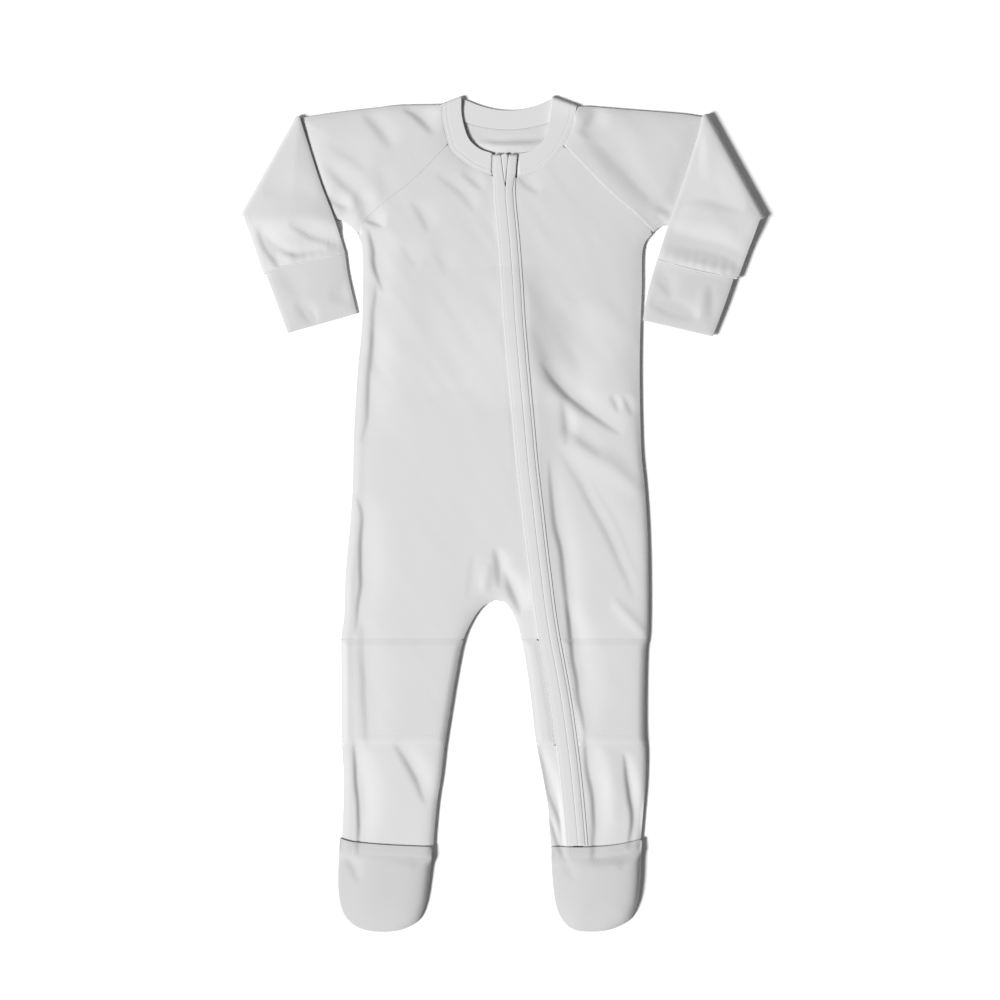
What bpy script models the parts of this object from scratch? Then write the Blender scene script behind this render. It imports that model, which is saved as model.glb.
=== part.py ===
"""A footed baby sleepsuit, laid flat on its back with both sleeves folded in over the front.

Tables are in millimetres: x across, y towards the neck, z up from the surface that it lies on.
Left and right are as seen from above. Meshes are written in metres.
"""

import math

import bpy
import numpy as np
from mathutils import Matrix, Vector
from mathutils.geometry import delaunay_2d_cdt

MM = 0.001

# Cloth
CLOTH = 1.2  # jersey wall
RIB = 2.0  # doubled rib of the neckband and the cuffs
TRIM = 1.4  # folded placket
PATCH = 1.0  # knee patch
SEAM = 0.3  # between two pieces that are sewn together
HEM = 0.8  # what a turned hem adds
HEM_DEPTH = 7.0

# How the layers lie
EDGE_TOP = 2.7  # back and front, one on the other, at a side seam
FOLD_TOP = 4.0  # a sleeve's tube where its cloth turns
LOFT_TOP = 5.7  # away from every edge
LOFT_RUN = 8.0  # how fast the front rises from an edge
SLEEVE_MID = 2.0  # middle of a flat sleeve's tube
SLEEVE_BEND = 2.5  # bend of that middle where the sleeve folds over
SLEEVE_LOFT = 1.4  # rise of the folded forearm
NECK_BEND = 1.8  # bend of the neckband's middle at a shoulder

# Edges of the cloth as laid, rows of (x, y)
SIDE_LEFT = (
    (-105.5, 205.3), (-102.2, 193.7), (-101.8, 165.0), (-102.7, 135.0), (-105.6, 105.0), (-108.3, 60.0),
    (-109.3, 21.0), (-111.4, -10.0), (-114.5, -44.0), (-115.5, -75.0), (-117.5, -91.0), (-117.2, -130.0),
    (-117.0, -168.0), (-115.7, -193.0), (-116.4, -222.0), (-117.6, -242.0),
)
SIDE_RIGHT = (
    (110.7, 206.7), (103.2, 195.0), (102.3, 165.0), (101.2, 135.0), (100.8, 105.0), (101.2, 73.0),
    (102.2, 45.0), (104.5, 21.0), (106.3, -5.0), (107.2, -30.0), (107.5, -61.0), (107.0, -88.0),
    (105.2, -100.0), (104.4, -134.0), (104.4, -160.0), (105.5, -173.0), (105.1, -195.0), (103.1, -220.0),
    (101.2, -242.0),
)
CROTCH = (
    (-50.5, -247.0), (-47.6, -213.0), (-44.2, -190.6), (-41.6, -168.0), (-39.0, -151.0), (-34.0, -120.0),
    (-28.5, -93.0), (-21.5, -77.0), (-14.0, -67.0), (-5.8, -62.3), (3.0, -65.0), (11.0, -79.0),
    (16.8, -104.0), (21.2, -135.0), (24.8, -166.0), (29.9, -192.0), (33.4, -213.0), (34.6, -229.0),
    (36.4, -247.5),
)
# Raglan seams, from below the neckband to the underarm
RAGLAN = {
    ("left", "front"): ((-63.8, 245.8), (-97.7, 218.4), (-105.5, 205.3)),
    ("left", "back"): ((-63.8, 251.0), (-97.7, 219.5), (-105.5, 205.3)),
    ("right", "front"): ((76.6, 237.9), (96.3, 221.1), (110.7, 206.7)),
    ("right", "back"): ((76.6, 242.0), (96.3, 222.5), (110.7, 206.7)),
}

# Neckband: its free inner edge and its sewn outer edge, each from a shoulder
NECK_IN = {
    "left": ((-29.6, 304.7), (-29.2, 291.4), (-24.7, 275.9), (-16.8, 267.9), (-7.0, 264.2)),
    "right": ((36.5, 304.7), (35.7, 296.5), (33.1, 279.7), (27.3, 269.7), (19.7, 265.5), (11.4, 263.8)),
    "back": ((-29.6, 304.7), (-15.0, 299.0), (-1.5, 296.2), (11.7, 296.2), (24.6, 299.2), (36.5, 304.7)),
}
NECK_OUT = {
    "left": ((-44.2, 300.0), (-43.6, 287.5), (-38.0, 267.1), (-32.5, 261.4), (-20.7, 252.9), (-7.4, 247.8)),
    "right": ((54.6, 298.6), (51.6, 284.5), (42.3, 266.0), (30.5, 254.6), (20.0, 249.3), (11.2, 247.1)),
    "back": (
        (-44.2, 300.0), (-37.0, 291.8), (-18.0, 284.6), (2.9, 281.9), (23.9, 284.0), (45.0, 290.5), (54.6, 298.6),
    ),
}
NECK_ROWS = {"left": 12, "right": 12, "back": 16}
FRONT_JOIN = 5  # the raglan seam meets the neckband at this row of a front
BACK_JOIN = 2  # and at this row of the back
SHOULDER = 3.0  # the band starts to turn this far from a shoulder

# Sleeves: top edge from the neck to the fold, underarm edge from the body to the fold, then the forearm
# as folded over, whose inner edge continues the top edge, and the cuff. The last two columns of a
# forearm's drop say where it leaves the upper arm and where it has reached the surface (y).
SLEEVES = {
    "left": {
        "over": ((-44.2, 300.0), (-75.5, 299.5), (-95.0, 297.3), (-121.2, 294.3), (-147.5, 290.5)),
        "under": ((-105.5, 205.3), (-114.6, 213.6), (-122.4, 216.4), (-150.0, 217.5), (-188.6, 217.4)),
        "inner": ((-147.5, 290.5), (-132.9, 244.5), (-122.4, 217.1), (-114.3, 191.0)),
        "outer": ((-188.6, 217.4), (-174.5, 175.6)),
        "seam": ((-114.3, 191.0), (-137.2, 185.6), (-161.5, 181.2), (-174.5, 175.6)),
        "cuff_inner": ((-114.4, 190.3), (-112.0, 174.1), (-105.8, 147.4)),
        "cuff_outer": ((-173.0, 174.4), (-170.5, 170.0), (-156.9, 133.0)),
        "cuff_end": ((-105.8, 147.4), (-156.9, 133.0)),
        "drop": (214.0, 194.0),
    },
    "right": {
        "over": ((54.6, 298.6), (65.0, 298.6), (89.8, 296.6), (128.9, 293.6), (146.2, 291.2)),
        "under": ((110.7, 206.7), (115.5, 210.2), (121.1, 211.6), (150.0, 213.5), (188.2, 215.0)),
        "inner": ((146.2, 291.2), (141.2, 271.9), (128.9, 232.8), (119.7, 206.7), (113.1, 186.1)),
        "outer": ((188.2, 215.0), (172.4, 172.4)),
        "seam": ((113.1, 186.1), (142.0, 178.2), (172.4, 172.4)),
        "cuff_inner": ((112.6, 185.2), (106.5, 163.0), (102.9, 142.1)),
        "cuff_outer": ((169.5, 172.0), (162.0, 151.0), (154.0, 130.2)),
        "cuff_end": ((102.9, 142.1), (154.0, 130.2)),
        "drop": (208.0, 188.0),
    },
}

# Zip line, from the neck to the right ankle
ZIP = (
    (4.6, 263.0), (3.0, 248.0), (2.8, 232.0), (5.8, 200.7), (8.0, 171.5), (10.2, 135.0), (13.9, 91.0),
    (18.2, 47.4), (22.8, 3.6), (27.9, -40.0), (34.3, -84.0), (42.3, -128.0), (48.4, -171.6), (53.3, -215.4),
    (56.0, -246.0),
)
PANEL_GAP = 3.5  # a front's edge from the zip line
TAPE_HALF = 7.0
TAPE_TOP = 1.7  # the tape's upper face below the front's
TAPE = 0.8
COIL_HALF = 2.0
LEFT_FLAP = (-8.4, -0.3)  # placket edges from the zip line
RIGHT_FLAP = (0.3, 5.4)
PIPING = (5.8, 7.6)
PIPING_HEIGHT = 1.1
TRIM_END = -241.5  # plackets and piping end against the foot cover's hem
TRIM_LINE_TOP = 243.0  # the fronts' points beside the trims start here
FRONT_END = -247.5  # the fronts' edges at the zip end here, under the foot cover
GUARD = ((-0.6, 263.0), (4.2, 263.0), (3.1, 248.0), (2.3, 241.5), (1.0, 250.0))  # tab at the zip's top
GUARD_LEFT = ((263.0, -6.7, -1.0), (250.0, -5.9, 0.6), (241.0, -5.6, 2.0))  # left placket there: y, x from, to

# Feet: the cover's hem, then round the toes and back. The leg ends under the hem.
FEET = {
    "left": {
        "hem": ((-118.6, -235.9), (-107.0, -238.8), (-81.2, -240.8), (-50.8, -242.1)),
        "toe": (
            (-50.8, -242.1), (-51.6, -254.0), (-53.3, -268.0), (-56.2, -285.2), (-62.0, -297.0), (-75.0, -303.8),
            (-93.4, -304.7), (-107.0, -300.8), (-115.6, -292.1), (-119.4, -279.0), (-120.0, -262.9),
            (-119.3, -248.0), (-118.6, -235.9),
        ),
    },
    "right": {
        "hem": ((35.9, -242.1), (56.6, -242.4), (73.7, -241.7), (89.4, -239.5), (102.2, -236.4)),
        "toe": (
            (102.2, -236.4), (101.8, -254.1), (101.0, -271.4), (98.6, -285.2), (92.0, -297.0), (77.3, -303.7),
            (60.0, -304.7), (50.0, -302.0), (43.0, -294.5), (39.4, -285.2), (37.2, -271.4), (36.0, -255.0),
            (35.9, -242.1),
        ),
    },
}
FOOT_LAP = 6.0  # the leg's end beyond the hem
FOOT_RUN = 9.0  # from there the cover sinks to its own height
FOOT_LOFT = 3.2
KNEE_TOP = -90.6
KNEE_END = -168.6

# Largest folds of the front: from (x, y), to (x, y), half width, height at the middle
FOLDS = (
    (21.0, 113.0, 46.0, 88.0, 6.0, -1.5),  # deep crease beside the zip
    (44.0, 90.0, 80.0, 63.0, 5.0, -1.7),  # and on to the side
    (52.0, 98.0, 88.0, 74.0, 6.0, 0.8),  # the roll above it
    (37.0, 128.0, 37.5, 110.0, 15.0, -1.6),  # hollow over the crease
    (50.0, 56.0, 102.0, 22.0, 8.0, 0.9),
    (50.0, 37.0, 94.0, -52.0, 8.0, 0.8),
    (37.0, 30.0, 48.0, -70.0, 4.5, -1.3),  # beside the zip, down to the knee
    (-78.0, 68.0, -44.0, 85.0, 9.0, -0.8),  # belly
    (-46.0, 86.0, -10.0, 91.0, 9.0, -0.8),
    (6.0, -50.0, 13.0, -70.0, 4.0, -1.2),  # crotch
    (-107.0, -168.0, -107.5, -232.0, 4.5, -1.2),  # lower legs
    (-78.0, -170.0, -58.0, -212.0, 6.0, -0.9),
    (60.5, -172.0, 69.5, -232.0, 5.0, -0.9),
    (90.0, -180.0, 94.0, -228.0, 5.0, -0.8),
    (-72.0, 294.0, -56.0, 282.0, 5.0, -0.8),  # shoulders
    (-104.0, 289.0, -76.0, 256.0, 7.0, 0.8),
    (62.0, 268.0, 104.0, 222.0, 7.0, 0.8),
    (-95.0, 207.0, -89.0, 166.0, 7.0, -0.7),
)
# Folds of the forearms, in the same columns
FOREARM_FOLDS = (
    (-152.0, 208.5, -117.0, 196.0, 4.5, -1.2),
    (-164.0, 195.0, -136.0, 191.5, 4.0, -0.9),
    (125.0, 222.0, 170.0, 226.0, 6.0, -1.1),
    (122.0, 197.0, 160.0, 190.0, 4.0, -0.9),
)

GRID = 17.0  # spacing of a panel's inner points
STEP = 13.0  # spacing along an edge
FINE = 6.5  # spacing along the neck
HEM_STEP = 9.0  # spacing round a foot

WHITE = (0.80, 0.80, 0.80, 1.0)


# ---- lines in the plane ----


def curve(points, step):
    """Points about a step apart on a smooth curve through the given ones."""
    p = np.array(points, float)
    if len(p) == 2:
        count = max(1, round(float(np.linalg.norm(p[1] - p[0])) / step))
        return p[0] + (p[1] - p[0]) * np.linspace(0, 1, count + 1)[:, None]
    ends = np.concatenate([[2 * p[0] - p[1]], p, [2 * p[-1] - p[-2]]])
    t = np.linspace(0, 1, 16, endpoint=False)[:, None]
    runs = []
    for a, b, c, d in zip(ends[:-3], ends[1:-2], ends[2:-1], ends[3:]):
        runs.append(
            0.5 * (2 * b + (c - a) * t + (2 * a - 5 * b + 4 * c - d) * t**2 + (3 * b - a - 3 * c + d) * t**3)
        )
    dense = np.concatenate([*runs, p[-1:]])
    along = np.concatenate([[0], np.cumsum(np.linalg.norm(np.diff(dense, axis=0), axis=1))])
    at = np.linspace(0, along[-1], max(1, round(along[-1] / step)) + 1)
    return np.stack([np.interp(at, along, dense[:, k]) for k in range(2)], axis=1)


def shares(points, at):
    """Points at the given shares of a curve's length."""
    line = curve(points, 1.0)
    along = np.concatenate([[0], np.cumsum(np.linalg.norm(np.diff(line, axis=0), axis=1))])
    return np.stack([np.interp(np.array(at) * along[-1], along, line[:, k]) for k in range(2)], axis=1)


def shifted(line, distance):
    """A line moved to its left by a distance."""
    line = np.array(line, float)
    run = np.gradient(line, axis=0)
    run /= np.linalg.norm(run, axis=1)[:, None]
    return line + distance * np.stack([-run[:, 1], run[:, 0]], axis=1)


def nearest(points, line):
    """Each point's distance to a line, and where along the line that is, in segments."""
    points, line = np.atleast_2d(points), np.array(line, float)
    best, place = np.full(len(points), np.inf), np.zeros(len(points))
    for i, (a, b) in enumerate(zip(line[:-1], line[1:])):
        run = b - a
        t = np.clip((points - a) @ run / max(run @ run, 1e-9), 0, 1)
        away = np.linalg.norm(points - a - t[:, None] * run, axis=1)
        place = np.where(away < best, i + t, place)
        best = np.minimum(best, away)
    return best, place


def within(points, outline):
    """Whether each point lies inside a closed outline."""
    x, y = points[:, 0], points[:, 1]
    inside = np.zeros(len(points), bool)
    for (ax, ay), (bx, by) in zip(outline, np.roll(outline, -1, axis=0)):
        crosses = (ay > y) != (by > y)
        at = ax + (y - ay) / np.where(by == ay, 1e-9, by - ay) * (bx - ax)
        inside ^= crosses & (x < at)
    return inside


def ease(t):
    t = np.clip(t, 0, 1)
    return t * t * (3 - 2 * t)


def joined(*lines):
    """One closed outline from lines that follow each other, counter-clockwise, without doubled points."""
    points = np.concatenate(lines)
    keep = [i for i in range(len(points)) if np.linalg.norm(points[i] - points[i - 1]) > 0.05]
    points = points[keep]
    x, y = points[:, 0], points[:, 1]
    turned = float(np.sum(x * np.roll(y, -1) - y * np.roll(x, -1))) < 0
    return points[::-1] if turned else points


def zip_line(step, low=-246.0, high=263.0):
    line = curve(ZIP, step)
    line = line[(line[:, 1] > low + 1.0) & (line[:, 1] < high - 1.0)]
    fine = curve(ZIP, 1.0)[::-1]
    ends = [(float(np.interp(y, fine[:, 1], fine[:, 0])), y) for y in (high, low)]
    return np.concatenate([ends[:1], line, ends[1:]])


# ---- heights ----


def folds(points, table):
    """What the folds add to a height."""
    total = np.zeros(len(points))
    for x0, y0, x1, y1, half, height in table:
        away, place = nearest(points, ((x0, y0), (x1, y1)))
        fade = 0.35 + 0.65 * np.sin(np.pi * np.clip(place, 0, 1))
        total += height * fade * np.exp(-((away / half) ** 2))
    return total


def edge_table():
    """The edges that the front rises from: (line, height at its start, height at its end)."""
    table = [(SIDE_LEFT, EDGE_TOP, EDGE_TOP), (SIDE_RIGHT, EDGE_TOP, EDGE_TOP), (CROTCH, EDGE_TOP, EDGE_TOP)]
    for sleeve in SLEEVES.values():
        table.append((sleeve["over"], FOLD_TOP, FOLD_TOP))
        table.append((sleeve["under"], EDGE_TOP, FOLD_TOP))
        table.append(((sleeve["over"][-1], sleeve["under"][-1]), FOLD_TOP, FOLD_TOP))
    return [(curve(line, 4.0), low, high) for line, low, high in table]


EDGES = edge_table()


def covered(points):
    """How far each point is from what a folded forearm covers, 0 under it."""
    best = np.full(len(points), np.inf)
    for sleeve in SLEEVES.values():
        top, bottom = sleeve["over"][-1], sleeve["under"][-1]
        patch = np.array([top, bottom, *reversed(sleeve["inner"][1:])])
        away = nearest(points, sleeve["inner"])[0]
        best = np.minimum(best, np.where(within(points, patch), 0.0, away))
    return best


def front_top(points):
    """The upper face of the front and of the upper sleeves."""
    points = np.atleast_2d(points)
    height = FOLD_TOP + (LOFT_TOP - FOLD_TOP) * (1 - np.exp(-covered(points) / LOFT_RUN))
    for line, low, high in EDGES:
        away, place = nearest(points, line)
        edge = low + (high - low) * place / (len(line) - 1)
        height = np.minimum(height, edge + (LOFT_TOP - edge) * (1 - np.exp(-away / LOFT_RUN)))
    lift = (height - EDGE_TOP) / (LOFT_TOP - EDGE_TOP)
    return np.maximum(height + folds(points, FOLDS) * np.clip(lift, 0, 1), EDGE_TOP)


def above(offset):
    """A height function, the front's upper face moved by an offset."""
    return lambda points: front_top(points) + offset


def level(height):
    return lambda points: np.full(len(np.atleast_2d(points)), height)


def beyond_hem(points, foot):
    """How far each point lies past a foot cover's hem, towards the toes."""
    hem = curve(foot["hem"], 2.0)
    return np.interp(points[:, 0], hem[:, 0], hem[:, 1]) - points[:, 1]


def cover_under(foot):
    """The under face of a foot cover: on the leg at the hem, then a low pocket of its own."""
    toe = curve(foot["toe"], 4.0)

    def height(points):
        points = np.atleast_2d(points)
        rise = FOOT_LOFT * (1 - np.exp(-nearest(points, toe)[0] / LOFT_RUN))
        on_leg = 1 - ease((beyond_hem(points, foot) - FOOT_LAP - 1.0) / FOOT_RUN)
        own = CLOTH + SEAM + rise
        return on_leg * (front_top(points) + SEAM) + (1 - on_leg) * own

    return height


def cover_over(foot):
    under = cover_under(foot)

    def height(points):
        points = np.atleast_2d(points)
        hem = 1 - ease((beyond_hem(points, foot) - HEM_DEPTH + 1.0) / 2.0)
        return under(points) + CLOTH + HEM * hem

    return height


# ---- solids ----


def material(name, rough):
    m = bpy.data.materials.new(name)
    m.use_nodes = True
    shader = m.node_tree.nodes["Principled BSDF"]
    shader.inputs["Base Color"].default_value = WHITE
    shader.inputs["Roughness"].default_value = rough
    shader.inputs["Metallic"].default_value = 0.0
    return m


def volume(points, faces):
    """Six times what faces enclose, negative where they point inwards."""
    fans = [(face[0], b, c) for face in faces for b, c in zip(face[1:-1], face[2:])]
    a, b, c = (points[[fan[k] for fan in fans]] for k in range(3))
    return float((a * np.cross(b, c)).sum())


def add(name, points, faces, rough=0.9):
    """A named object from points in millimetres, its faces pointing out."""
    points = np.array(points)
    if volume(points, faces) < 0:
        faces = [tuple(reversed(face)) for face in faces]
    mesh = bpy.data.meshes.new(name)
    mesh.from_pydata((points * MM).tolist(), [], faces)
    mesh.shade_smooth()
    mesh.set_sharp_from_angle(angle=math.radians(50))
    mesh.materials.append(material(name, rough))
    o = bpy.data.objects.new(name, mesh)
    bpy.context.scene.collection.objects.link(o)
    return o


def inner_points(outline, spacing, rows, extra):
    """Points inside an outline: rows along its edge, chosen lines, then an even grid."""
    loop = np.concatenate([outline, outline[:1]])
    kept = np.zeros((0, 2))
    groups = []
    for inset in rows:
        line = shifted(loop, inset)[:-1]
        groups.append((line, 0.8 * inset, 0.75 * inset))
    groups += [(np.array(line), 0.3 * spacing, 0.35 * spacing) for line in extra]
    low, high = outline.min(0), outline.max(0)
    xs = np.arange(low[0], high[0], spacing)
    ys = np.arange(low[1], high[1], spacing * math.sqrt(0.75))
    grid = np.array([(x + (j % 2) * spacing / 2, y) for j, y in enumerate(ys) for x in xs])
    groups.append((grid, 0.5 * spacing, 0.62 * spacing))
    for points, clear, apart in groups:
        points = points[within(points, outline) & (nearest(points, loop)[0] > clear)]
        for p in points:
            if not len(kept) or np.linalg.norm(kept - p, axis=1).min() > apart:
                kept = np.concatenate([kept, [p]])
    return kept


def cut(outline, spacing=GRID, rows=(6.0,), extra=(), lines=()):
    """A cut piece's triangles in the plane; lines are edges that they have to follow."""
    inner = inner_points(outline, spacing, rows, [*lines, *extra])
    keep = [p for p in inner if not len(lines) or min(nearest([p], line)[0][0] for line in lines) > 2.5]
    flat = [Vector(p) for p in [*outline.tolist(), *keep]]
    edges = []
    for line in lines:
        edges += [(len(flat) + i, len(flat) + i + 1) for i in range(len(line) - 1)]
        flat += [Vector(p) for p in line]
    points, _, faces, *_ = delaunay_2d_cdt(flat, edges, [list(range(len(outline)))], 1, 0.02)
    plan = np.array([tuple(p) for p in points])
    triangles = []
    for a, b, c in faces:
        (ax, ay), (bx, by), (cx, cy) = plan[a], plan[b], plan[c]
        left = (bx - ax) * (cy - ay) - (by - ay) * (cx - ax) > 0
        triangles.append((a, b, c) if left else (a, c, b))
    return plan, triangles


def walled(name, plan, triangles, under, over, rough=0.9):
    """A piece of cloth: the same triangles above and below, closed by a rim."""
    used = sorted({i for face in triangles for i in face})
    place = {i: k for k, i in enumerate(used)}
    upper = [tuple(place[i] for i in face) for face in triangles]
    plan, count = plan[used], len(used)
    directed = {(a, b) for face in upper for a, b in zip(face, face[1:] + face[:1])}
    rim = [(a, a + count, b + count, b) for a, b in sorted(directed) if (b, a) not in directed]
    lower = [(c + count, b + count, a + count) for a, b, c in upper]
    solid = np.concatenate([np.column_stack([plan, over(plan)]), np.column_stack([plan, under(plan)])])
    return add(name, solid, upper + lower + rim, rough)


def panel(name, outline, under, over, spacing=GRID, rows=(6.0,), extra=(), lines=(), rough=0.9):
    plan, triangles = cut(outline, spacing, rows, extra, lines)
    walled(name, plan, triangles, under, over, rough)
    return plan, triangles


def patch(name, plan, triangles, outline):
    """A piece that lies on a panel: the panel's own triangles inside an outline, moved out."""
    middles = np.array([plan[list(face)].mean(0) for face in triangles])
    chosen = [face for face, inside in zip(triangles, within(middles, outline)) if inside]
    return walled(name, plan, chosen, above(SEAM), above(SEAM + PATCH))


def lofted(name, sections, rough=0.9):
    """A closed solid through open-ended sections that have the same number of points."""
    count = len(sections[0])
    faces = []
    for i in range(len(sections) - 1):
        for j in range(count):
            k = (j + 1) % count
            faces.append((i * count + j, i * count + k, (i + 1) * count + k, (i + 1) * count + j))
    faces.append(tuple(reversed(range(count))))
    faces.append(tuple(range((len(sections) - 1) * count, len(sections) * count)))
    return add(name, np.concatenate(sections), faces, rough)


def ribbon(name, inner, outer, thick, rough=0.9):
    """A strip of even thickness through rows that each have an inner and an outer edge point."""
    inner, outer = np.array(inner), np.array(outer)
    along = np.gradient((inner + outer) / 2, axis=0)
    across = outer - inner
    normal = np.cross(across, along)
    normal *= thick / 2 / np.linalg.norm(normal, axis=1)[:, None]
    sections = [np.array([a - n, b - n, b + n, a + n]) for a, b, n in zip(inner, outer, normal)]
    return lofted(name, sections, rough)


def tube(name, outside, inside, rough=0.9):
    """An open tube: a ring of wall for each row, an outer loop and an inner loop."""
    rows, count = len(outside), len(outside[0])
    half = rows * count
    faces = []
    for i in range(rows - 1):
        for j in range(count):
            k = (j + 1) % count
            a, b, c, d = i * count + j, i * count + k, (i + 1) * count + k, (i + 1) * count + j
            faces.append((a, b, c, d))
            faces.append((d + half, c + half, b + half, a + half))
    for j in range(count):
        k = (j + 1) % count
        faces.append((k, j, j + half, k + half))
        end = (rows - 1) * count
        faces.append((end + j, end + k, end + k + half, end + j + half))
    return add(name, np.concatenate([*outside, *inside]), faces, rough)


# ---- sleeves ----

COLUMNS = (0.0, 0.08, 0.16, 0.24, 0.32, 0.40, 0.52, 0.64, 0.76, 0.88, 1.0)
UPPER_ROWS = 7
BEND_STEPS = 4
FOREARM_ROWS = 7
CUFF_ROWS = 4
ROUND = (60.0, 0.0, -60.0)  # where an edge's turn has points, in degrees


def coons(first, last, over, under, rows):
    """Rows of points between two end rows, whose ends follow an over and an under edge."""
    out = []
    for i in range(rows + 1):
        u = i / rows
        ends = [shares(edge, [u])[0] for edge in (over, under)]
        row = (1 - u) * first + u * last
        v = np.array(COLUMNS)[:, None]
        out.append(row + (1 - v) * (ends[0] - row[0]) + v * (ends[1] - row[-1]))
    return out


def neck_points(table, part):
    """The points where one edge of the neckband has its rows, from a shoulder."""
    return shares(table[part], np.linspace(0, 1, NECK_ROWS[part] + 1))


def joins(side, layer):
    """The neckband's outer edge from a shoulder to the raglan seam."""
    if layer == "front":
        return neck_points(NECK_OUT, side)[: FRONT_JOIN + 1]
    rows = neck_points(NECK_OUT, "back")
    return (rows if side == "left" else rows[::-1])[: BACK_JOIN + 1]


def raglan(side, layer):
    """Points along a raglan seam, at the sleeve's own columns."""
    at = (np.array(COLUMNS[FRONT_JOIN:]) - COLUMNS[FRONT_JOIN]) / (1 - COLUMNS[FRONT_JOIN])
    return shares((tuple(joins(side, layer)[-1]), *RAGLAN[side, layer]), at)


def armhole(side, layer):
    """A sleeve's first row: down the neckband, then along the raglan seam."""
    rows = joins(side, layer)
    at = np.linspace(0, len(rows) - 1, FRONT_JOIN + 1)
    neck = np.stack([np.interp(at, range(len(rows)), rows[:, k]) for k in range(2)], axis=1)
    return np.concatenate([neck, raglan(side, layer)[1:]])


def turn(tip, inward, first, second, wall):
    """Points round a tube's edge, from its first layer's height to its second's, a wall inside its face."""
    middle, half = (first + second) / 2, abs(first - second) / 2
    sign = math.copysign(1.0, first - second)
    radius = half - wall
    points = []
    for degrees in ROUND:
        a = math.radians(degrees)
        place = tip + inward * (half - radius * math.cos(a))
        points.append((*place, middle + sign * radius * math.sin(a)))
    return points


def loop(first, second, first_z, second_z, wall):
    """One row of a flat tube: out along its first layer, round the underarm edge, back, and round the top."""
    last = len(first) - 1
    sign = math.copysign(1.0, first_z[1] - second_z[1])
    points = [(*first[j], first_z[j] - sign * wall) for j in range(1, last)]
    inward = (first[-2] - first[-1]) / np.linalg.norm(first[-2] - first[-1])
    points += turn(first[-1], inward, first_z[-1], second_z[-1], wall)
    points += [(*second[j], second_z[j] + sign * wall) for j in range(last - 1, 0, -1)]
    inward = (first[1] - first[0]) / np.linalg.norm(first[1] - first[0])
    points += reversed(turn(first[0], inward, first_z[0], second_z[0], wall))
    return np.array(points)


def bent(points, outward, angle):
    """Points of a flat tube carried round the fold by an angle."""
    centre = SLEEVE_MID + SLEEVE_BEND
    reach = centre - points[:, 2]
    place = points[:, :2] + outward * (reach * math.sin(angle))[:, None]
    return np.column_stack([place, centre - reach * math.cos(angle)])


def forearm_low(points, drop):
    """The under face of a folded forearm: on the upper arm, then down to the surface."""
    return 2 * SLEEVE_BEND * ease((points[:, 1] - drop[1]) / (drop[0] - drop[1]))


def forearm_top(points, sleeve):
    edges = (sleeve["inner"], sleeve["outer"], sleeve["seam"], (sleeve["over"][-1], sleeve["under"][-1]))
    away = np.min([nearest(points, edge)[0] for edge in edges], axis=0)
    rise = 1 - np.exp(-away / LOFT_RUN)
    return forearm_low(points, sleeve["drop"]) + FOLD_TOP + rise * (SLEEVE_LOFT + folds(points, FOREARM_FOLDS))


def sleeve(side):
    """A sleeve: a tube from the raglan seams to the cuff, folded over the front on the way."""
    table = SLEEVES[side]
    right = side == "right"
    apart = SEAM if right else -SEAM
    front_row, back_row = (shifted(armhole(side, layer), apart) for layer in ("front", "back"))
    back_row[[0, -1]] = front_row[[0, -1]]
    fold = shares((table["over"][-1], table["under"][-1]), COLUMNS)
    upper = coons(front_row, fold, table["over"], table["under"], UPPER_ROWS)
    lower = coons(back_row, fold, table["over"], table["under"], UPPER_ROWS)
    upper[0], lower[0] = front_row, back_row
    rows = [(a, b, front_top(a), np.zeros(len(b))) for a, b in zip(upper, lower)]
    skins = [[loop(*row, wall) for row in rows] for wall in (0.0, CLOTH)]
    run = fold[-1] - fold[0]
    outward = np.array([-run[1], run[0]]) / np.linalg.norm(run) * (1 if right else -1)
    for skin in skins:
        flat = skin[-1]
        skin += [bent(flat, outward, math.pi * i / BEND_STEPS) for i in range(1, BEND_STEPS + 1)]
    seam = shares(table["seam"], COLUMNS)
    for plan in coons(fold, seam, table["inner"], table["outer"], FOREARM_ROWS)[1:]:
        heights = forearm_low(plan, table["drop"]), forearm_top(plan, table)
        for skin, wall in zip(skins, (0.0, CLOTH)):
            skin.append(loop(plan, plan, *heights, wall))
    return tube(f"sleeve_{side}", *skins)


def cuff(side):
    """A cuff: an open tube of doubled rib."""
    table = SLEEVES[side]
    seam = shares(table["seam"], COLUMNS)
    seam[:, 1] -= SEAM
    end = shares(table["cuff_end"], COLUMNS)
    plans = coons(seam, end, table["cuff_inner"], table["cuff_outer"], CUFF_ROWS)
    height = 2 * RIB + 2 * SEAM
    rows = [(plan, plan, np.zeros(len(plan)), np.full(len(plan), height)) for plan in plans]
    skins = [[loop(*row, wall) for row in rows] for wall in (0.0, RIB)]
    return tube(f"cuff_{side}", *skins, rough=0.95)


# ---- neckband ----


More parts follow.
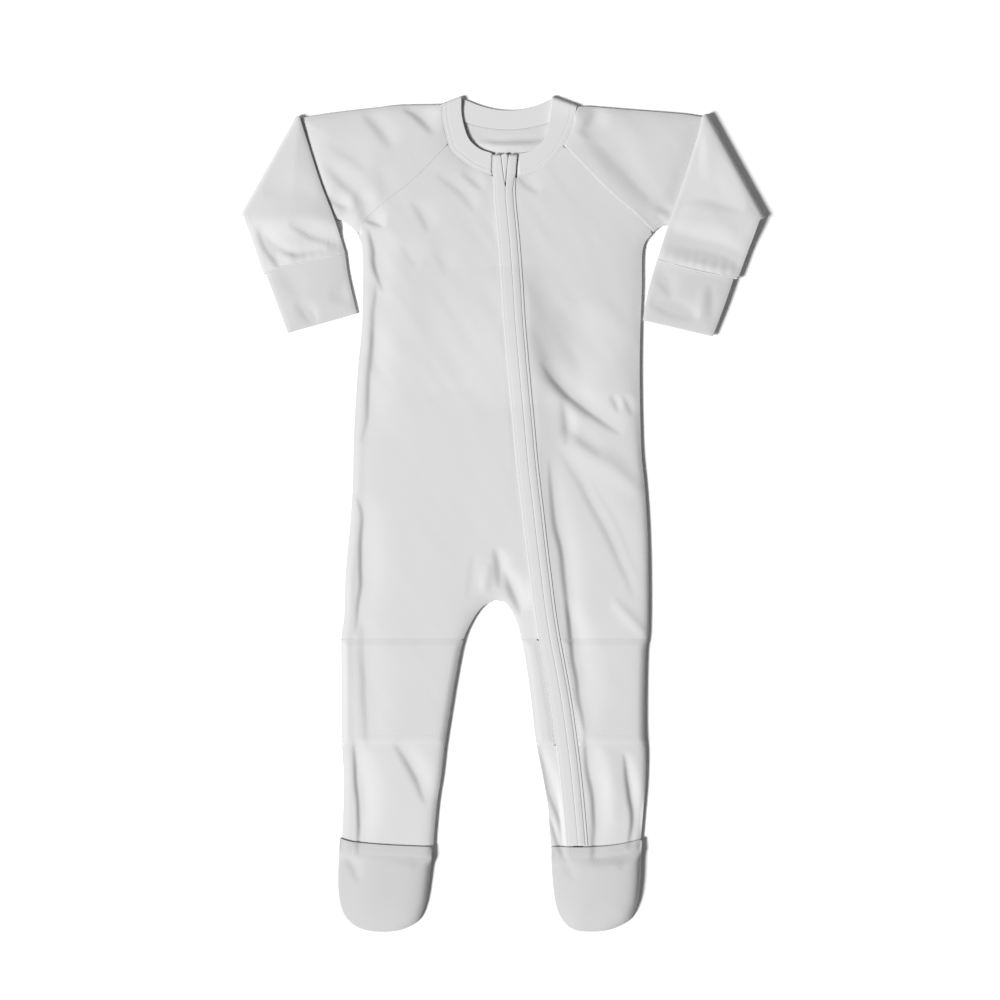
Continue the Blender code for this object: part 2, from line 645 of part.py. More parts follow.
def neckband():
    """The rib band: up the left front, over the shoulder, across the back and down the right front."""
    parts = {part: [neck_points(table, part) for table in (NECK_IN, NECK_OUT)] for part in NECK_ROWS}
    for part, tips in (("left", (0,)), ("right", (0,)), ("back", (0, -1))):
        for line in parts[part]:
            for tip, beside in zip(tips, (1, -2)):
                run = line[beside] - line[tip]
                line[tip] += SHOULDER * run / np.linalg.norm(run)
    low, high = RIB / 2, RIB / 2 + 2 * NECK_BEND
    left, right, across = parts["left"], parts["right"], parts["back"]
    rows = [[(*line[i], high) for line in left] for i in range(NECK_ROWS["left"], -1, -1)]
    rows += shoulder(left, [line[0] for line in across], low)
    rows += [[(*line[i], low) for line in across] for i in range(NECK_ROWS["back"] + 1)]
    rows += shoulder(right, [line[-1] for line in across], low)[::-1]
    rows += [[(*line[i], high) for line in right] for i in range(NECK_ROWS["right"] + 1)]
    inner, outer = zip(*rows)
    return ribbon("neckband", inner, outer, RIB, 0.95)


def shoulder(front, back_ends, low):
    """The band's rows round a shoulder, from its front layer down to its back layer."""
    ends = [(line[0], back) for line, back in zip(front, back_ends)]
    run = ends[0][0] - ends[1][0]
    outward = np.array([-run[1], run[0]]) / np.linalg.norm(run)
    outward *= math.copysign(1.0, outward[1])
    rows = []
    for angle in np.linspace(0, math.pi, BEND_STEPS + 2)[1:-1]:
        share = (1 - math.cos(angle)) / 2
        tips = [a + (b - a) * share + outward * NECK_BEND * math.sin(angle) for a, b in ends]
        rows.append([(*tip, low + NECK_BEND * (1 + math.cos(angle))) for tip in tips])
    return rows


# ---- front, back and feet ----


def with_heights(line, heights):
    """A line with a point at each of some values of y, in place of those that lie near."""
    line = np.array(line)
    down = line[0, 1] > line[-1, 1]
    ordered = line[::-1] if down else line
    for y in heights:
        x = float(np.interp(y, ordered[:, 1], ordered[:, 0]))
        near = np.abs(ordered[:, 1] - y) < 4.0
        near[[0, -1]] = False
        ordered = ordered[~near]
        ordered = np.insert(ordered, int(np.searchsorted(ordered[:, 1], y)), (x, y), axis=0)
    return ordered[::-1] if down else ordered


def beside_zip(offset, low, high, step=STEP):
    """The zip line from high to low, moved across by an offset."""
    return zip_line(step, low, high) + np.array([offset, 0.0])


def raglan_edge(side, layer):
    """A panel's edge along a raglan seam, from just clear of the neckband."""
    edge = raglan(side, layer)
    run = edge[1] - edge[0]
    edge[0] += 1.5 * SEAM * run / np.linalg.norm(run)
    return edge


def neck_edge(part, apart):
    """A panel's edge along the neckband, between its raglan seams or to the zip."""
    edge = shifted(neck_points(NECK_OUT, part), apart)
    return edge[BACK_JOIN + 1 : -BACK_JOIN - 1] if part == "back" else edge[FRONT_JOIN + 1 :]


def fold_lines():
    """Lines of points along the larger folds, so that the panels bend there."""
    lines = []
    for x0, y0, x1, y1, half, _ in FOLDS:
        line = curve(((x0, y0), (x1, y1)), 12.0)
        lines += [line, shifted(line, half), shifted(line, -half)]
    return lines


def hem_row(foot, beyond, low=-500.0, high=500.0):
    """A row of points some way beyond a foot cover's hem, between two values of x."""
    row = curve(foot["hem"], HEM_STEP) - np.array([0, beyond])
    return row[(row[:, 0] > low + 2.0) & (row[:, 0] < high - 2.0)]


def legs(line):
    return with_heights(curve(line, STEP), (KNEE_END, KNEE_TOP))


def knee_lines(left, right):
    """The two cross edges of a knee patch, between two lines that have points at its heights."""
    ends = []
    for y in (KNEE_TOP, KNEE_END):
        pair = [line[np.abs(line[:, 1] - y).argmin()] for line in (left, right)]
        ends.append(curve(pair, STEP))
    return ends


def front_left():
    """The front from the left side seam to the zip, with the left leg and the right leg's inside."""
    middle = len(CROTCH) // 2
    side = legs(SIDE_LEFT)[1:]
    crotch = np.concatenate([legs(CROTCH[: middle + 1]), legs(CROTCH[middle:])[1:]])
    edge = beside_zip(-PANEL_GAP, FRONT_END, 246.5)
    trim = with_heights(beside_zip(LEFT_FLAP[0] - SEAM, FRONT_END, TRIM_LINE_TOP), (KNEE_END, KNEE_TOP))
    left, right = FEET["left"], FEET["right"]
    outline = joined(
        raglan_edge("left", "front")[::-1],
        neck_edge("left", -SEAM),
        edge,
        hem_row(right, FOOT_LAP, crotch[-1, 0], edge[-1, 0])[::-1],
        crotch[::-1],
        hem_row(left, FOOT_LAP, side[-1, 0], crotch[0, 0])[::-1],
        side[::-1],
    )
    half = len(crotch) // 2
    lines = [
        trim,
        hem_row(left, 0.0, side[-1, 0] + 2, crotch[0, 0] - 2),
        hem_row(right, 0.0, crotch[-1, 0] + 2, trim[-1, 0] - 1),
        *knee_lines(side, crotch[:half]),
        *knee_lines(crotch[half:], trim),
    ]
    plan, triangles = panel("front_left", outline, above(-CLOTH), above(0.0), extra=fold_lines(), lines=lines)
    band = (KNEE_END, KNEE_TOP)
    patch("knee_left", plan, triangles, knee_outline(side, crotch[:half], band))
    patch("knee_right_inner", plan, triangles, knee_outline(crotch[half:], trim, band))


def front_right():
    """The front from the zip to the right side seam, with the right leg's outside."""
    side = legs(SIDE_RIGHT)[1:]
    edge = beside_zip(PANEL_GAP, FRONT_END, 246.0)
    trim = with_heights(beside_zip(PIPING[1] + SEAM, FRONT_END, TRIM_LINE_TOP), (KNEE_END, KNEE_TOP))
    right = FEET["right"]
    outline = joined(
        raglan_edge("right", "front"),
        side,
        hem_row(right, FOOT_LAP, edge[-1, 0], side[-1, 0])[::-1],
        edge[::-1],
        neck_edge("right", SEAM)[::-1],
    )
    lines = [trim, hem_row(right, 0.0, trim[-1, 0] + 1, side[-1, 0] - 2), *knee_lines(trim, side)]
    plan, triangles = panel("front_right", outline, above(-CLOTH), above(0.0), extra=fold_lines(), lines=lines)
    patch("knee_right_outer", plan, triangles, knee_outline(trim, side, (KNEE_END, KNEE_TOP)))


def knee_outline(left, right, band):
    """A knee patch's outline, between two lines and two values of y."""
    parts = []
    for line in (left, right):
        line = line if line[0, 1] > line[-1, 1] else line[::-1]
        parts.append(line[(line[:, 1] > band[0] - 0.1) & (line[:, 1] < band[1] + 0.1)])
    return joined(parts[0], parts[1][::-1])


def down_to(line, foot):
    """An edge of a leg, from its upper end down to the foot's seam."""
    line = np.array(line)
    line = line if line[0, 1] > line[-1, 1] else line[::-1]
    fine, line = curve(line, 0.5), curve(line, STEP)
    clear = -beyond_hem(fine, foot) - SEAM
    end = fine[np.abs(clear).argmin()]
    return np.concatenate([line[-beyond_hem(line, foot) > 4.0], [end]])


def back():
    """The whole back with both legs, flat on the surface."""
    left, right = FEET["left"], FEET["right"]
    middle = len(CROTCH) // 2
    side_left, side_right = down_to(SIDE_LEFT, left), down_to(SIDE_RIGHT, right)
    in_left, in_right = down_to(CROTCH[: middle + 1], left), down_to(CROTCH[middle:], right)
    outline = joined(
        neck_edge("back", -SEAM)[::-1],
        raglan_edge("left", "back"),
        side_left[1:],
        hem_row(left, -SEAM, side_left[-1, 0], in_left[-1, 0]),
        in_left[::-1],
        in_right[1:],
        hem_row(right, -SEAM, in_right[-1, 0], side_right[-1, 0]),
        side_right[:0:-1],
        raglan_edge("right", "back")[::-1],
    )
    panel("back", outline, level(0.0), level(CLOTH), spacing=40.0, rows=())


def feet():
    """Each foot's back and the cover that laps over the end of the leg."""
    for side, foot in FEET.items():
        outline = joined(hem_row(foot, 0.0), curve(foot["toe"], HEM_STEP))
        laps = [hem_row(foot, beyond) for beyond in (FOOT_LAP, HEM_DEPTH + 1.5, 12.0, 18.0)]
        panel(f"foot_{side}_front", outline, cover_under(foot), cover_over(foot), 14.0, extra=laps)
        panel(f"foot_{side}_back", outline, level(0.0), level(CLOTH), 30.0, rows=())


# ---- zip and its trims ----


def along_zip(name, profile, low, high, rough=0.9):
    """A profile of (x, z) from the zip line and the front's face, carried down the zip."""
    sections = []
    for x, y in zip_line(STEP, low, high):
        places = np.array([(x + dx, y) for dx, _ in profile])
        sections.append(np.column_stack([places, front_top(places) + [dz for _, dz in profile]]))
    return lofted(name, sections, rough)


def box_profile(edges, low, high):
    return ((edges[0], low), (edges[0], high), (edges[1], high), (edges[1], low))


def zip_parts():
    """Tape with its coil under the plackets, the plackets, the piping and the tab at the top."""
    top, low, ridge = -TAPE_TOP, -TAPE_TOP - TAPE, -0.2
    chain = (
        (-TAPE_HALF, low), (-TAPE_HALF, top), (-COIL_HALF, top), (-COIL_HALF, ridge), (COIL_HALF, ridge),
        (COIL_HALF, top), (TAPE_HALF, top), (TAPE_HALF, low),
    )
    along_zip("zip_chain", chain, -246.0, 240.5)
    along_zip("placket_right", box_profile(RIGHT_FLAP, SEAM, SEAM + TRIM), TRIM_END, 263.0)
    along_zip("zip_piping", box_profile(PIPING, SEAM, SEAM + PIPING_HEIGHT), TRIM_END, 247.0)


def placket_left():
    """The left placket, whose top is cut back beside the tab."""
    line = zip_line(STEP, TRIM_END, 240.9)
    rows = [(y, x + LEFT_FLAP[0], x + LEFT_FLAP[1]) for x, y in line]
    rows = [*GUARD_LEFT, *rows[1:]]
    sections = []
    for y, x0, x1 in rows:
        ends = np.array([(x0, y), (x0, y), (x1, y), (x1, y)])
        up = (SEAM, SEAM + TRIM, SEAM + TRIM, SEAM)
        sections.append(np.column_stack([ends, front_top(ends) + up]))
    return lofted("placket_left", sections)


def centre():
    """Move every piece so that the middle of the whole lies over the origin."""
    meshes = [o.data for o in bpy.data.objects]
    places = np.array([v.co for mesh in meshes for v in mesh.vertices])
    middle = (places.min(0) + places.max(0)) / 2
    for mesh in meshes:
        mesh.transform(Matrix.Translation((-middle[0], -middle[1], 0.0)))


def main():
    for o in list(bpy.data.objects):
        bpy.data.objects.remove(o, do_unlink=True)
    back()
    front_left()
    front_right()
    for side in SLEEVES:
        sleeve(side)
        cuff(side)
    neckband()
    zip_parts()
    placket_left()
    panel("zip_guard", joined(np.array(GUARD)), above(-0.9), above(0.6), rows=())
    feet()
    centre()


main()
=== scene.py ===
"""A footed baby sleepsuit laid flat: knitted cloth, seams, stitching, zip and stage.

Tables are in millimetres: x across, y towards the neck, z up from the surface that the garment lies on.
"""

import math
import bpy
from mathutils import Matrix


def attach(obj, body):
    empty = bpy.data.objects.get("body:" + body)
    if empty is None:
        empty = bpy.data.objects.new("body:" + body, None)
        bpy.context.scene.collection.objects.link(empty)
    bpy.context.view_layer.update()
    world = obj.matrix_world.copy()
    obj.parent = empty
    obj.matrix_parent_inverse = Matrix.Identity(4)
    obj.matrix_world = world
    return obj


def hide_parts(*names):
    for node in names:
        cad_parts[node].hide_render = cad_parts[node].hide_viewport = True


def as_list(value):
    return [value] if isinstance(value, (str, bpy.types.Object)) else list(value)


bl_info = {
    "name": "Footed Baby Sleepsuit",
    "version": (1, 0, 0),
    "blender": (4, 5, 0),
    "location": "3D View > Sidebar > Sleepsuit",
    "description": "Builds a knitted baby sleepsuit laid flat, with its seams, zip and stage",
    "category": "Object",
}

import bpy
import numpy as np
from bpy.props import FloatProperty, FloatVectorProperty, IntProperty, PointerProperty
from mathutils import Vector
from mathutils.geometry import delaunay_2d_cdt

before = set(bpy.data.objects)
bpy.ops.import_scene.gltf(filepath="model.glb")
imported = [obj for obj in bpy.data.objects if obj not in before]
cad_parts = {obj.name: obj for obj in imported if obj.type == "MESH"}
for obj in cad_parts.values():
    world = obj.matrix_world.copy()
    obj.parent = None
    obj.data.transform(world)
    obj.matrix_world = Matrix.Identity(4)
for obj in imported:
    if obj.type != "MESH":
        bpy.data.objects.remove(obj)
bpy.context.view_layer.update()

MM = 0.001
CENTRE = (0.188, -0.256)  # brings the middle of the whole over the origin

# Cloth
CLOTH = 1.2
RIB = 2.0
TRIM = 0.7
PATCH = 0.6
SLEEVE_WALL = 0.95
CUFF_WALL = 0.9
SEAM = 0.3
BUTT = 0.01  # between pieces sewn edge to edge
HEM = 0.4
HEM_DEPTH = 7.0

# How the layers lie
REST_TOP = 2.5
EDGE_TOP = 2.7
FOLD_TOP = 3.0
LOFT_TOP = 5.3
LOFT_RUN = 9.0
SLACK_RUN = 13.0  # where the front rises slowly from its edge
TIGHT_RUN = 2.2  # and where it rises at once
NECK_TOP = 4.2
SHOULDER_RISE = 1.0  # how much higher the front lies at the shoulders
SHOULDER_WIDTH = 7.0  # and how far round them
SIDE_TOP = 3.5  # the left side's edge, and the lower end of the right leg's inner one
SLEEVE_MID = 1.5  # the middle of the upper arm's height at the fold
SLEEVE_BEND = {"left": 1.6, "right": 3.0}  # half the height between a fold's two layers
SLEEVE_SLOPE = {"left": 22.0, "right": 50.0}  # how far from the fold the forearm comes down on the arm
SLEEVE_HANG = {"left": 0.0, "right": 4.0}  # how high the cuff hangs over the surface
SLEEVE_STEP = {"left": 0.1, "right": 0.55}  # how high the sleeve stands over the front's edge at their seam
STEP_RUN = 6.0  # and how slowly it comes down from there
SLEEVE_LOFT = 1.2  # how much thicker the forearm's middle is than its fold
SLEEVE_RUN = 12.0  # how slowly it rises from its sides
SLEEVE_EDGE = 2.1  # its sides' thickness away from the fold
EDGE_SLOPE = 18.0  # and how far away that is
SLEEVE_END = 3.3  # its thickness at the cuff's seam
END_RUN = 3.5  # and how slowly it rises from there
PUFF = {"left": 0.35, "right": 0.7}  # height of the soft roll beside the cuff's seam
PUFF_AT = (4.5, 3.0)  # the roll's distance from the seam, and its half width
GATHERS = {"left": 0.12, "right": 0.2}  # height of the gathers that run out from the cuff's seam
GATHER_SIZE = (10.0, 7.5)  # their reach and their pitch
TUBE_TOP = 2.05  # the least thickness of a sleeve or a cuff
CUFF_EDGE = 2.1
CUFF_TOP = 3.2
CUFF_RUN = (9.0, 8.0)  # how slowly a cuff rises from its sides and from its end
CUFF_RIDGE = (0.45, 0.9, 1.1)  # the ridge along its seam: height, distance from the seam and half width
NECK_BEND = 1.05  # half the height between the neckband's two layers

# Where the folds fade out, as distances
RUN_CHANGE = 0.3  # share of an edge over which its run changes
FULL_LIFT = 1.2  # above the edges, where the folds have their full height
COVER_FADE = 3.0  # beside what a forearm covers
ELBOW_FADE = 9.0
TRIM_FLAT = 8.3  # the cloth is flat this far from the middle of the plackets
TRIM_FADE = 2.8
TRIM_SHARE = 0.1  # share of the folds that is left there
NECK_FADE = 14.0
SIDE_FADE = 4.0  # beside the sides of forearms and cuffs
TOE_FADE = 8.0
HEIGHT_SOFTNESS = 8.0  # how sharply the lowest places turn level

# Soft unevenness: height, size and seed
FRONT_SWELL = ((0.35, 62.0, 3), (0.1, 21.0, 4))
FOREARM_SWELL = ((0.2, 40.0, 5), (0.08, 15.0, 6))
CUFF_SWELL = ((0.1, 22.0, 9),)
FOOT_SWELL = ((0.2, 30.0, 7),)
WRINKLES = (0.05, 0.09)  # height of the drawn wrinkles, and how much more they have on the body
BODY_FROM = 60.0  # y where the body's wrinkles begin, and how far they take to grow
SIDE_ROLL = (4.4, 3.0)  # the left side's soft roll: distance from the edge and half width
SIDE_ROLL_TOP = (0.3, 0.25)  # its height, and how much that varies
RAGLAN_PUCKERS = (5.0, 6.0, 0.05)  # reach, pitch and height

# Edges of the cloth as laid, rows of (x, y)
SIDE_LEFT = (
    (-105.5, 205.3), (-102.2, 193.7), (-101.8, 165.0), (-102.7, 135.0), (-105.6, 105.0), (-108.3, 60.0),
    (-109.3, 21.0), (-111.4, -10.0), (-114.5, -44.0), (-115.5, -75.0), (-117.5, -91.0), (-117.2, -130.0),
    (-117.0, -168.0), (-115.7, -193.0), (-116.4, -222.0), (-117.6, -242.0),
)
SIDE_RIGHT = (
    (110.7, 206.7), (103.2, 195.0), (102.3, 165.0), (101.2, 135.0), (100.8, 105.0), (101.2, 73.0),
    (102.2, 45.0), (104.5, 21.0), (106.3, -5.0), (107.2, -30.0), (107.5, -61.0), (107.0, -88.0),
    (105.2, -100.0), (104.4, -134.0), (104.4, -160.0), (105.5, -173.0), (105.1, -195.0), (103.1, -220.0),
    (101.2, -242.0),
)
CROTCH = (
    (-50.5, -247.0), (-47.6, -213.0), (-44.2, -190.6), (-41.6, -168.0), (-39.0, -151.0), (-34.0, -120.0),
    (-28.5, -93.0), (-21.5, -77.0), (-14.0, -67.0), (-5.8, -62.3), (3.0, -65.0), (11.0, -79.0),
    (16.8, -104.0), (21.2, -135.0), (24.8, -166.0), (29.9, -192.0), (33.4, -213.0), (34.6, -229.0),
    (36.4, -247.5),
)
INNER_LEFT = CROTCH[: len(CROTCH) // 2 + 1]
INNER_RIGHT = CROTCH[len(CROTCH) // 2 :]
RAGLAN = {
    ("left", "front"): ((-63.8, 245.8), (-97.7, 218.4), (-105.5, 205.3)),
    ("left", "back"): ((-63.8, 251.0), (-97.7, 219.5), (-105.5, 205.3)),
    ("right", "front"): ((76.6, 237.9), (96.3, 221.1), (110.7, 206.7)),
    ("right", "back"): ((76.6, 242.0), (96.3, 222.5), (110.7, 206.7)),
}

# Neckband: its free inner edge and its sewn outer edge, each from a shoulder
NECK_IN = {
    "left": ((-29.6, 304.7), (-29.2, 291.4), (-24.7, 275.9), (-16.8, 267.9), (-7.0, 264.2)),
    "right": ((36.5, 304.7), (35.7, 296.5), (33.1, 279.7), (27.3, 269.7), (19.7, 265.5), (11.4, 263.8)),
    "back": ((-29.6, 304.7), (-15.0, 299.0), (-1.5, 296.2), (11.7, 296.2), (24.6, 299.2), (36.5, 304.7)),
}
NECK_OUT = {
    "left": ((-44.2, 300.0), (-43.6, 287.5), (-38.0, 267.1), (-32.5, 261.4), (-20.7, 252.9), (-7.4, 247.8)),
    "right": ((54.6, 298.6), (51.6, 284.5), (42.3, 266.0), (30.5, 254.6), (20.0, 249.3), (11.2, 247.1)),
    "back": (
        (-44.2, 300.0), (-37.0, 291.8), (-18.0, 284.6), (2.9, 281.9), (23.9, 284.0), (45.0, 290.5),
        (54.6, 298.6),
    ),
}
NECK_ROWS = {"left": 12, "right": 12, "back": 16}
NECK_FINE = 3  # rows of the finished band for each of those
FRONT_JOIN = 5
BACK_JOIN = 2
SHOULDER = 3.0
TWIN_STITCH = (1.2, 4.2)  # rows of topstitching from the band's sewn edge

SLEEVES = {
    "left": {
        "over": ((-44.2, 300.0), (-75.5, 299.5), (-95.0, 297.3), (-121.2, 294.3), (-147.5, 290.5)),
        "under": ((-105.5, 205.3), (-114.6, 213.6), (-122.4, 216.4), (-150.0, 217.5), (-188.6, 217.4)),
        "inner": ((-147.5, 290.5), (-132.9, 244.5), (-122.4, 217.1), (-114.3, 191.0)),
        "outer": ((-188.6, 217.4), (-174.5, 175.6)),
        "seam": ((-114.3, 191.0), (-137.2, 185.6), (-161.5, 181.2), (-174.5, 175.6)),
        "cuff_inner": ((-114.4, 190.9), (-112.0, 174.1), (-105.8, 147.4)),
        "cuff_outer": ((-173.0, 176.2), (-170.5, 170.0), (-156.9, 133.0)),
        "cuff_end": ((-105.8, 147.4), (-156.9, 133.0)),
        "drop": (216.0, 201.0),
    },
    "right": {
        "over": ((54.6, 298.6), (65.0, 298.6), (89.8, 296.6), (128.9, 293.6), (146.2, 291.2)),
        "under": ((110.7, 206.7), (115.5, 210.2), (121.1, 211.6), (150.0, 213.5), (188.2, 215.0)),
        "inner": ((146.2, 291.2), (141.2, 271.9), (128.9, 232.8), (119.7, 206.7), (113.1, 186.1)),
        "outer": ((188.2, 215.0), (172.4, 172.4)),
        "seam": ((113.1, 186.1), (142.0, 178.2), (172.4, 172.4)),
        "cuff_inner": ((113.0, 186.0), (106.5, 163.0), (102.9, 142.1)),
        "cuff_outer": ((169.5, 172.9), (162.0, 151.0), (154.0, 130.2)),
        "cuff_end": ((102.9, 142.1), (154.0, 130.2)),
        "drop": (208.0, 188.0),
    },
}

# Zip line, from the neck to the right ankle
ZIP = (
    (4.6, 263.0), (3.0, 248.0), (2.8, 232.0), (5.8, 200.7), (8.0, 171.5), (10.2, 135.0), (13.9, 91.0),
    (18.2, 47.4), (22.8, 3.6), (27.9, -40.0), (34.3, -84.0), (42.3, -128.0), (48.4, -171.6), (53.3, -215.4),
    (56.0, -246.0),
)
PANEL_GAP = 3.5
TAPE_HALF = 7.0
TAPE_TOP = 1.4
TAPE = 0.8
COIL_HALF = 1.8
LEFT_FLAP = (-8.4, -0.02)
RIGHT_FLAP = (0.02, 5.5)
PIPING = (5.55, 7.3)
PIPING_HEIGHT = 0.45
SEWN_DROP = 0.25  # a placket's sewn edge lies lower than its folded one
TRIM_END = -241.5
GUARD = ((-0.9, 263.0), (4.2, 263.0), (3.1, 248.0), (2.3, 241.5), (0.8, 250.0))  # the tab's outline
# The plackets beside the tab: y, x from, x to
LEFT_TOP = ((263.0, -6.98, -1.0), (250.0, -7.2, 0.7), (245.5, -6.3, 1.4), (241.0, -5.6, 2.2))
RIGHT_TOP = ((263.0, 5.0, 11.3), (256.0, 4.1, 10.6), (249.0, 3.4, 10.2), (245.0, 3.1, 8.9), (240.0, 2.9, 8.4))

FEET = {
    "left": {
        "hem": ((-118.6, -235.9), (-107.0, -238.8), (-81.2, -240.8), (-50.8, -242.1)),
        "toe": (
            (-50.8, -242.1), (-51.6, -254.0), (-53.3, -268.0), (-56.2, -285.2), (-62.0, -297.0),
            (-75.0, -303.8), (-93.4, -304.7), (-107.0, -300.8), (-115.6, -292.1), (-119.4, -279.0),
            (-120.0, -262.9), (-119.3, -248.0), (-118.6, -235.9),
        ),
    },
    "right": {
        "hem": ((35.9, -242.1), (56.6, -242.4), (73.7, -241.7), (89.4, -239.5), (102.2, -236.4)),
        "toe": (
            (102.2, -236.4), (101.8, -254.1), (101.0, -271.4), (98.6, -285.2), (92.0, -297.0), (77.3, -303.7),
            (60.0, -304.7), (50.0, -302.0), (43.0, -294.5), (39.4, -285.2), (37.2, -271.4), (36.0, -255.0),
            (35.9, -242.1),
        ),
    },
}
FOOT_LAP = 6.0  # how far the fronts reach under a cover's hem
FOOT_RUN = 9.0  # and over what length below that the cover comes off the leg
FOOT_RISE = (14.0, 2.5)  # how slowly the cover rises from its left and its right edge
FOOT_LOFT = {"left": (2.2, 5.4), "right": (3.0, 8.0)}
HEM_STITCH = (5.2, 7.4)  # rows of stitching from a cover's hem
KNEES = ("knee_left", "knee_right_inner", "knee_right_outer")
KNEE_TOP = -90.6
KNEE_END = -168.6
KNEE_HEM = 7.6  # the row of stitching above a patch's lower end
KNEE_EDGE = 5.0  # how far in from its edge a patch has its full thickness

# Folds: half width to the left and to the right of the line as it runs, height, and the line. A trough's
# right side is its steep one, and lies on the line.
BODY_FORMS = (
    # the low ridge that the zip lies on, higher over the belly, and the hollow beside it
    (13.0, 45.0, 1.2, ((10, 226), (13, 170), (16, 135), (19, 91), (24, 47), (28, 4), (34, -60), (44, -120))),
    (15.0, 48.0, 2.5, ((15, 182), (19, 130), (27, 82))),
    (20.0, 14.0, -2.0, ((40, 154), (45, 124), (56, 90))),
    # the right shoulder falls away from the raglan seam
    (16.0, 7.0, -1.5, ((50, 288), (75, 262), (93, 242), (109, 226), (124, 222))),
)
FRONT_FOLDS = (
    # left upper arm
    (10.0, 2.6, -1.7, ((-74, 297), (-63, 291), (-55, 284), (-50, 277))),
    (10.0, 4.0, -1.2, ((-103, 293), (-94, 284), (-86, 275), (-80, 267))),
    (12.0, 5.0, -0.8, ((-128, 272), (-120, 265), (-108, 257), (-99, 250))),
    (9.0, 3.5, -1.3, ((-131, 256), (-118, 242), (-106, 232), (-99, 223))),
    (7.0, 2.2, -1.8, ((-128, 230), (-120, 226), (-110, 222))),
    (8.0, 3.5, -1.1, ((-109, 235), (-105, 226), (-100, 217))),
    (8.0, 2.2, -1.5, ((-105, 217), (-96, 214), (-86, 210))),
    (9.0, 4.0, -0.4, ((-92, 254), (-89, 243), (-87, 230))),
    # left chest
    (12.0, 2.2, -1.7, ((-98, 210), (-94, 194), (-93, 182), (-87, 162))),
    (12.0, 2.5, -1.3, ((-92, 172), (-94, 148), (-95, 104))),
    (9.0, 3.5, -0.75, ((-67, 229), (-60, 217), (-54, 205))),
    (8.0, 3.5, -0.8, ((-48, 248), (-32, 235), (-20, 221))),
    (6.0, 3.0, -0.75, ((-31, 250), (-22, 243), (-14, 236))),
    (8.0, 4.0, -0.5, ((-76, 198), (-70, 189), (-63, 180))),
    (8.0, 4.0, -0.4, ((-52, 192), (-46, 184), (-41, 174))),
    # left side and belly
    (14.0, 2.2, -1.4, ((-95, 138), (-97, 104), (-98, 73), (-104, 52))),
    (14.0, 2.0, -1.8, ((-107, 16), (-102, 1), (-103, -21), (-104, -52), (-107, -88))),
    (8.0, 4.0, -0.3, ((-88, 64), (-62, 82), (-40, 87), (-8, 91))),
    (4.0, 3.0, -0.3, ((8, 52), (13, 20), (17, -12), (22, -54))),
    # crotch
    (6.0, 3.5, -1.6, ((-6, -24), (-3, -39), (-2, -54))),
    (8.0, 4.0, -2.2, ((2, -40), (6, -55), (13, -74))),
    (4.0, 4.0, 0.7, ((-9, -36), (-11, -47), (-13, -58))),
    (6.0, 3.0, -0.4, ((-21, -28), (-23, -45), (-26, -62))),
    # right shoulder and chest
    (7.0, 4.0, 0.4, ((46, 274), (66, 256), (84, 238), (101, 220))),
    (9.0, 4.5, -1.7, ((69, 302), (64, 290), (56, 279))),
    (4.0, 3.0, -0.9, ((111, 222), (119, 221), (127, 220))),
    (3.0, 1.6, -1.1, ((112, 218), (115, 214), (112, 208))),
    (7.0, 3.0, -0.9, ((10, 248), (17, 241), (27, 234))),
    # right side of the belly: a deep crease and the roll below it
    (14.0, 8.0, -1.0, ((22, 140), (27, 118), (34, 104), (43, 93), (53, 83), (68, 72))),
    (13.0, 3.4, -2.2, ((27, 112), (34, 101), (42, 92), (51, 83), (65, 73), (88, 58))),
    (4.0, 6.0, 0.6, ((24, 104), (36, 90), (50, 76), (62, 68))),
    (4.0, 2.5, -0.9, ((78, 87), (82, 80), (85, 74))),
    (4.0, 2.5, -0.8, ((87, 87), (91, 79), (95, 72))),
    (6.0, 4.0, -1.4, ((43, 84), (45, 68), (47, 51))),
    (8.0, 4.0, -0.7, ((44, 65), (58, 53), (73, 41))),
    (7.0, 9.0, 1.4, ((44, 58), (68, 42), (84, 32), (101, 14))),
    # down the right leg beside the zip
    (10.0, 2.8, -1.9, ((34, 42), (37, 3), (43, -28), (46, -60), (50, -84), (54, -106))),
    (8.0, 3.5, -0.9, ((43, 46), (67, 2), (83, -29), (96, -63))),
    (7.0, 3.0, -0.35, ((62, 30), (86, -12), (100, -48))),
    (4.0, 5.0, 0.8, ((80, -61), (92, -74), (107, -90))),
    (13.0, 3.0, -2.4, ((46, -62), (50, -93), (53, -117), (61, -162))),
    # knees
    (14.0, 4.0, -1.2, ((-103, -76), (-102, -117), (-100, -150), (-98, -174))),
    # lower left leg
    (12.0, 1.8, -2.2, ((-108, -164), (-107, -189), (-105, -213), (-106, -250))),
    (10.0, 3.2, -1.6, ((-80, -166), (-68, -186), (-55, -212))),
    # lower right leg
    (6.0, 2.2, -1.7, ((26, -166), (33, -198), (41, -221), (47, -256))),
    (3.0, 1.6, -1.2, ((34, -220), (39, -235), (44, -252))),
    (10.0, 2.4, -1.9, ((59, -158), (63, -189), (67, -213), (66, -254))),
    (6.0, 2.2, -2.4, ((88, -174), (93, -205), (95, -221), (92, -244))),
    (8.0, 6.0, 0.8, ((72, -168), (80, -190), (82, -226))),
)
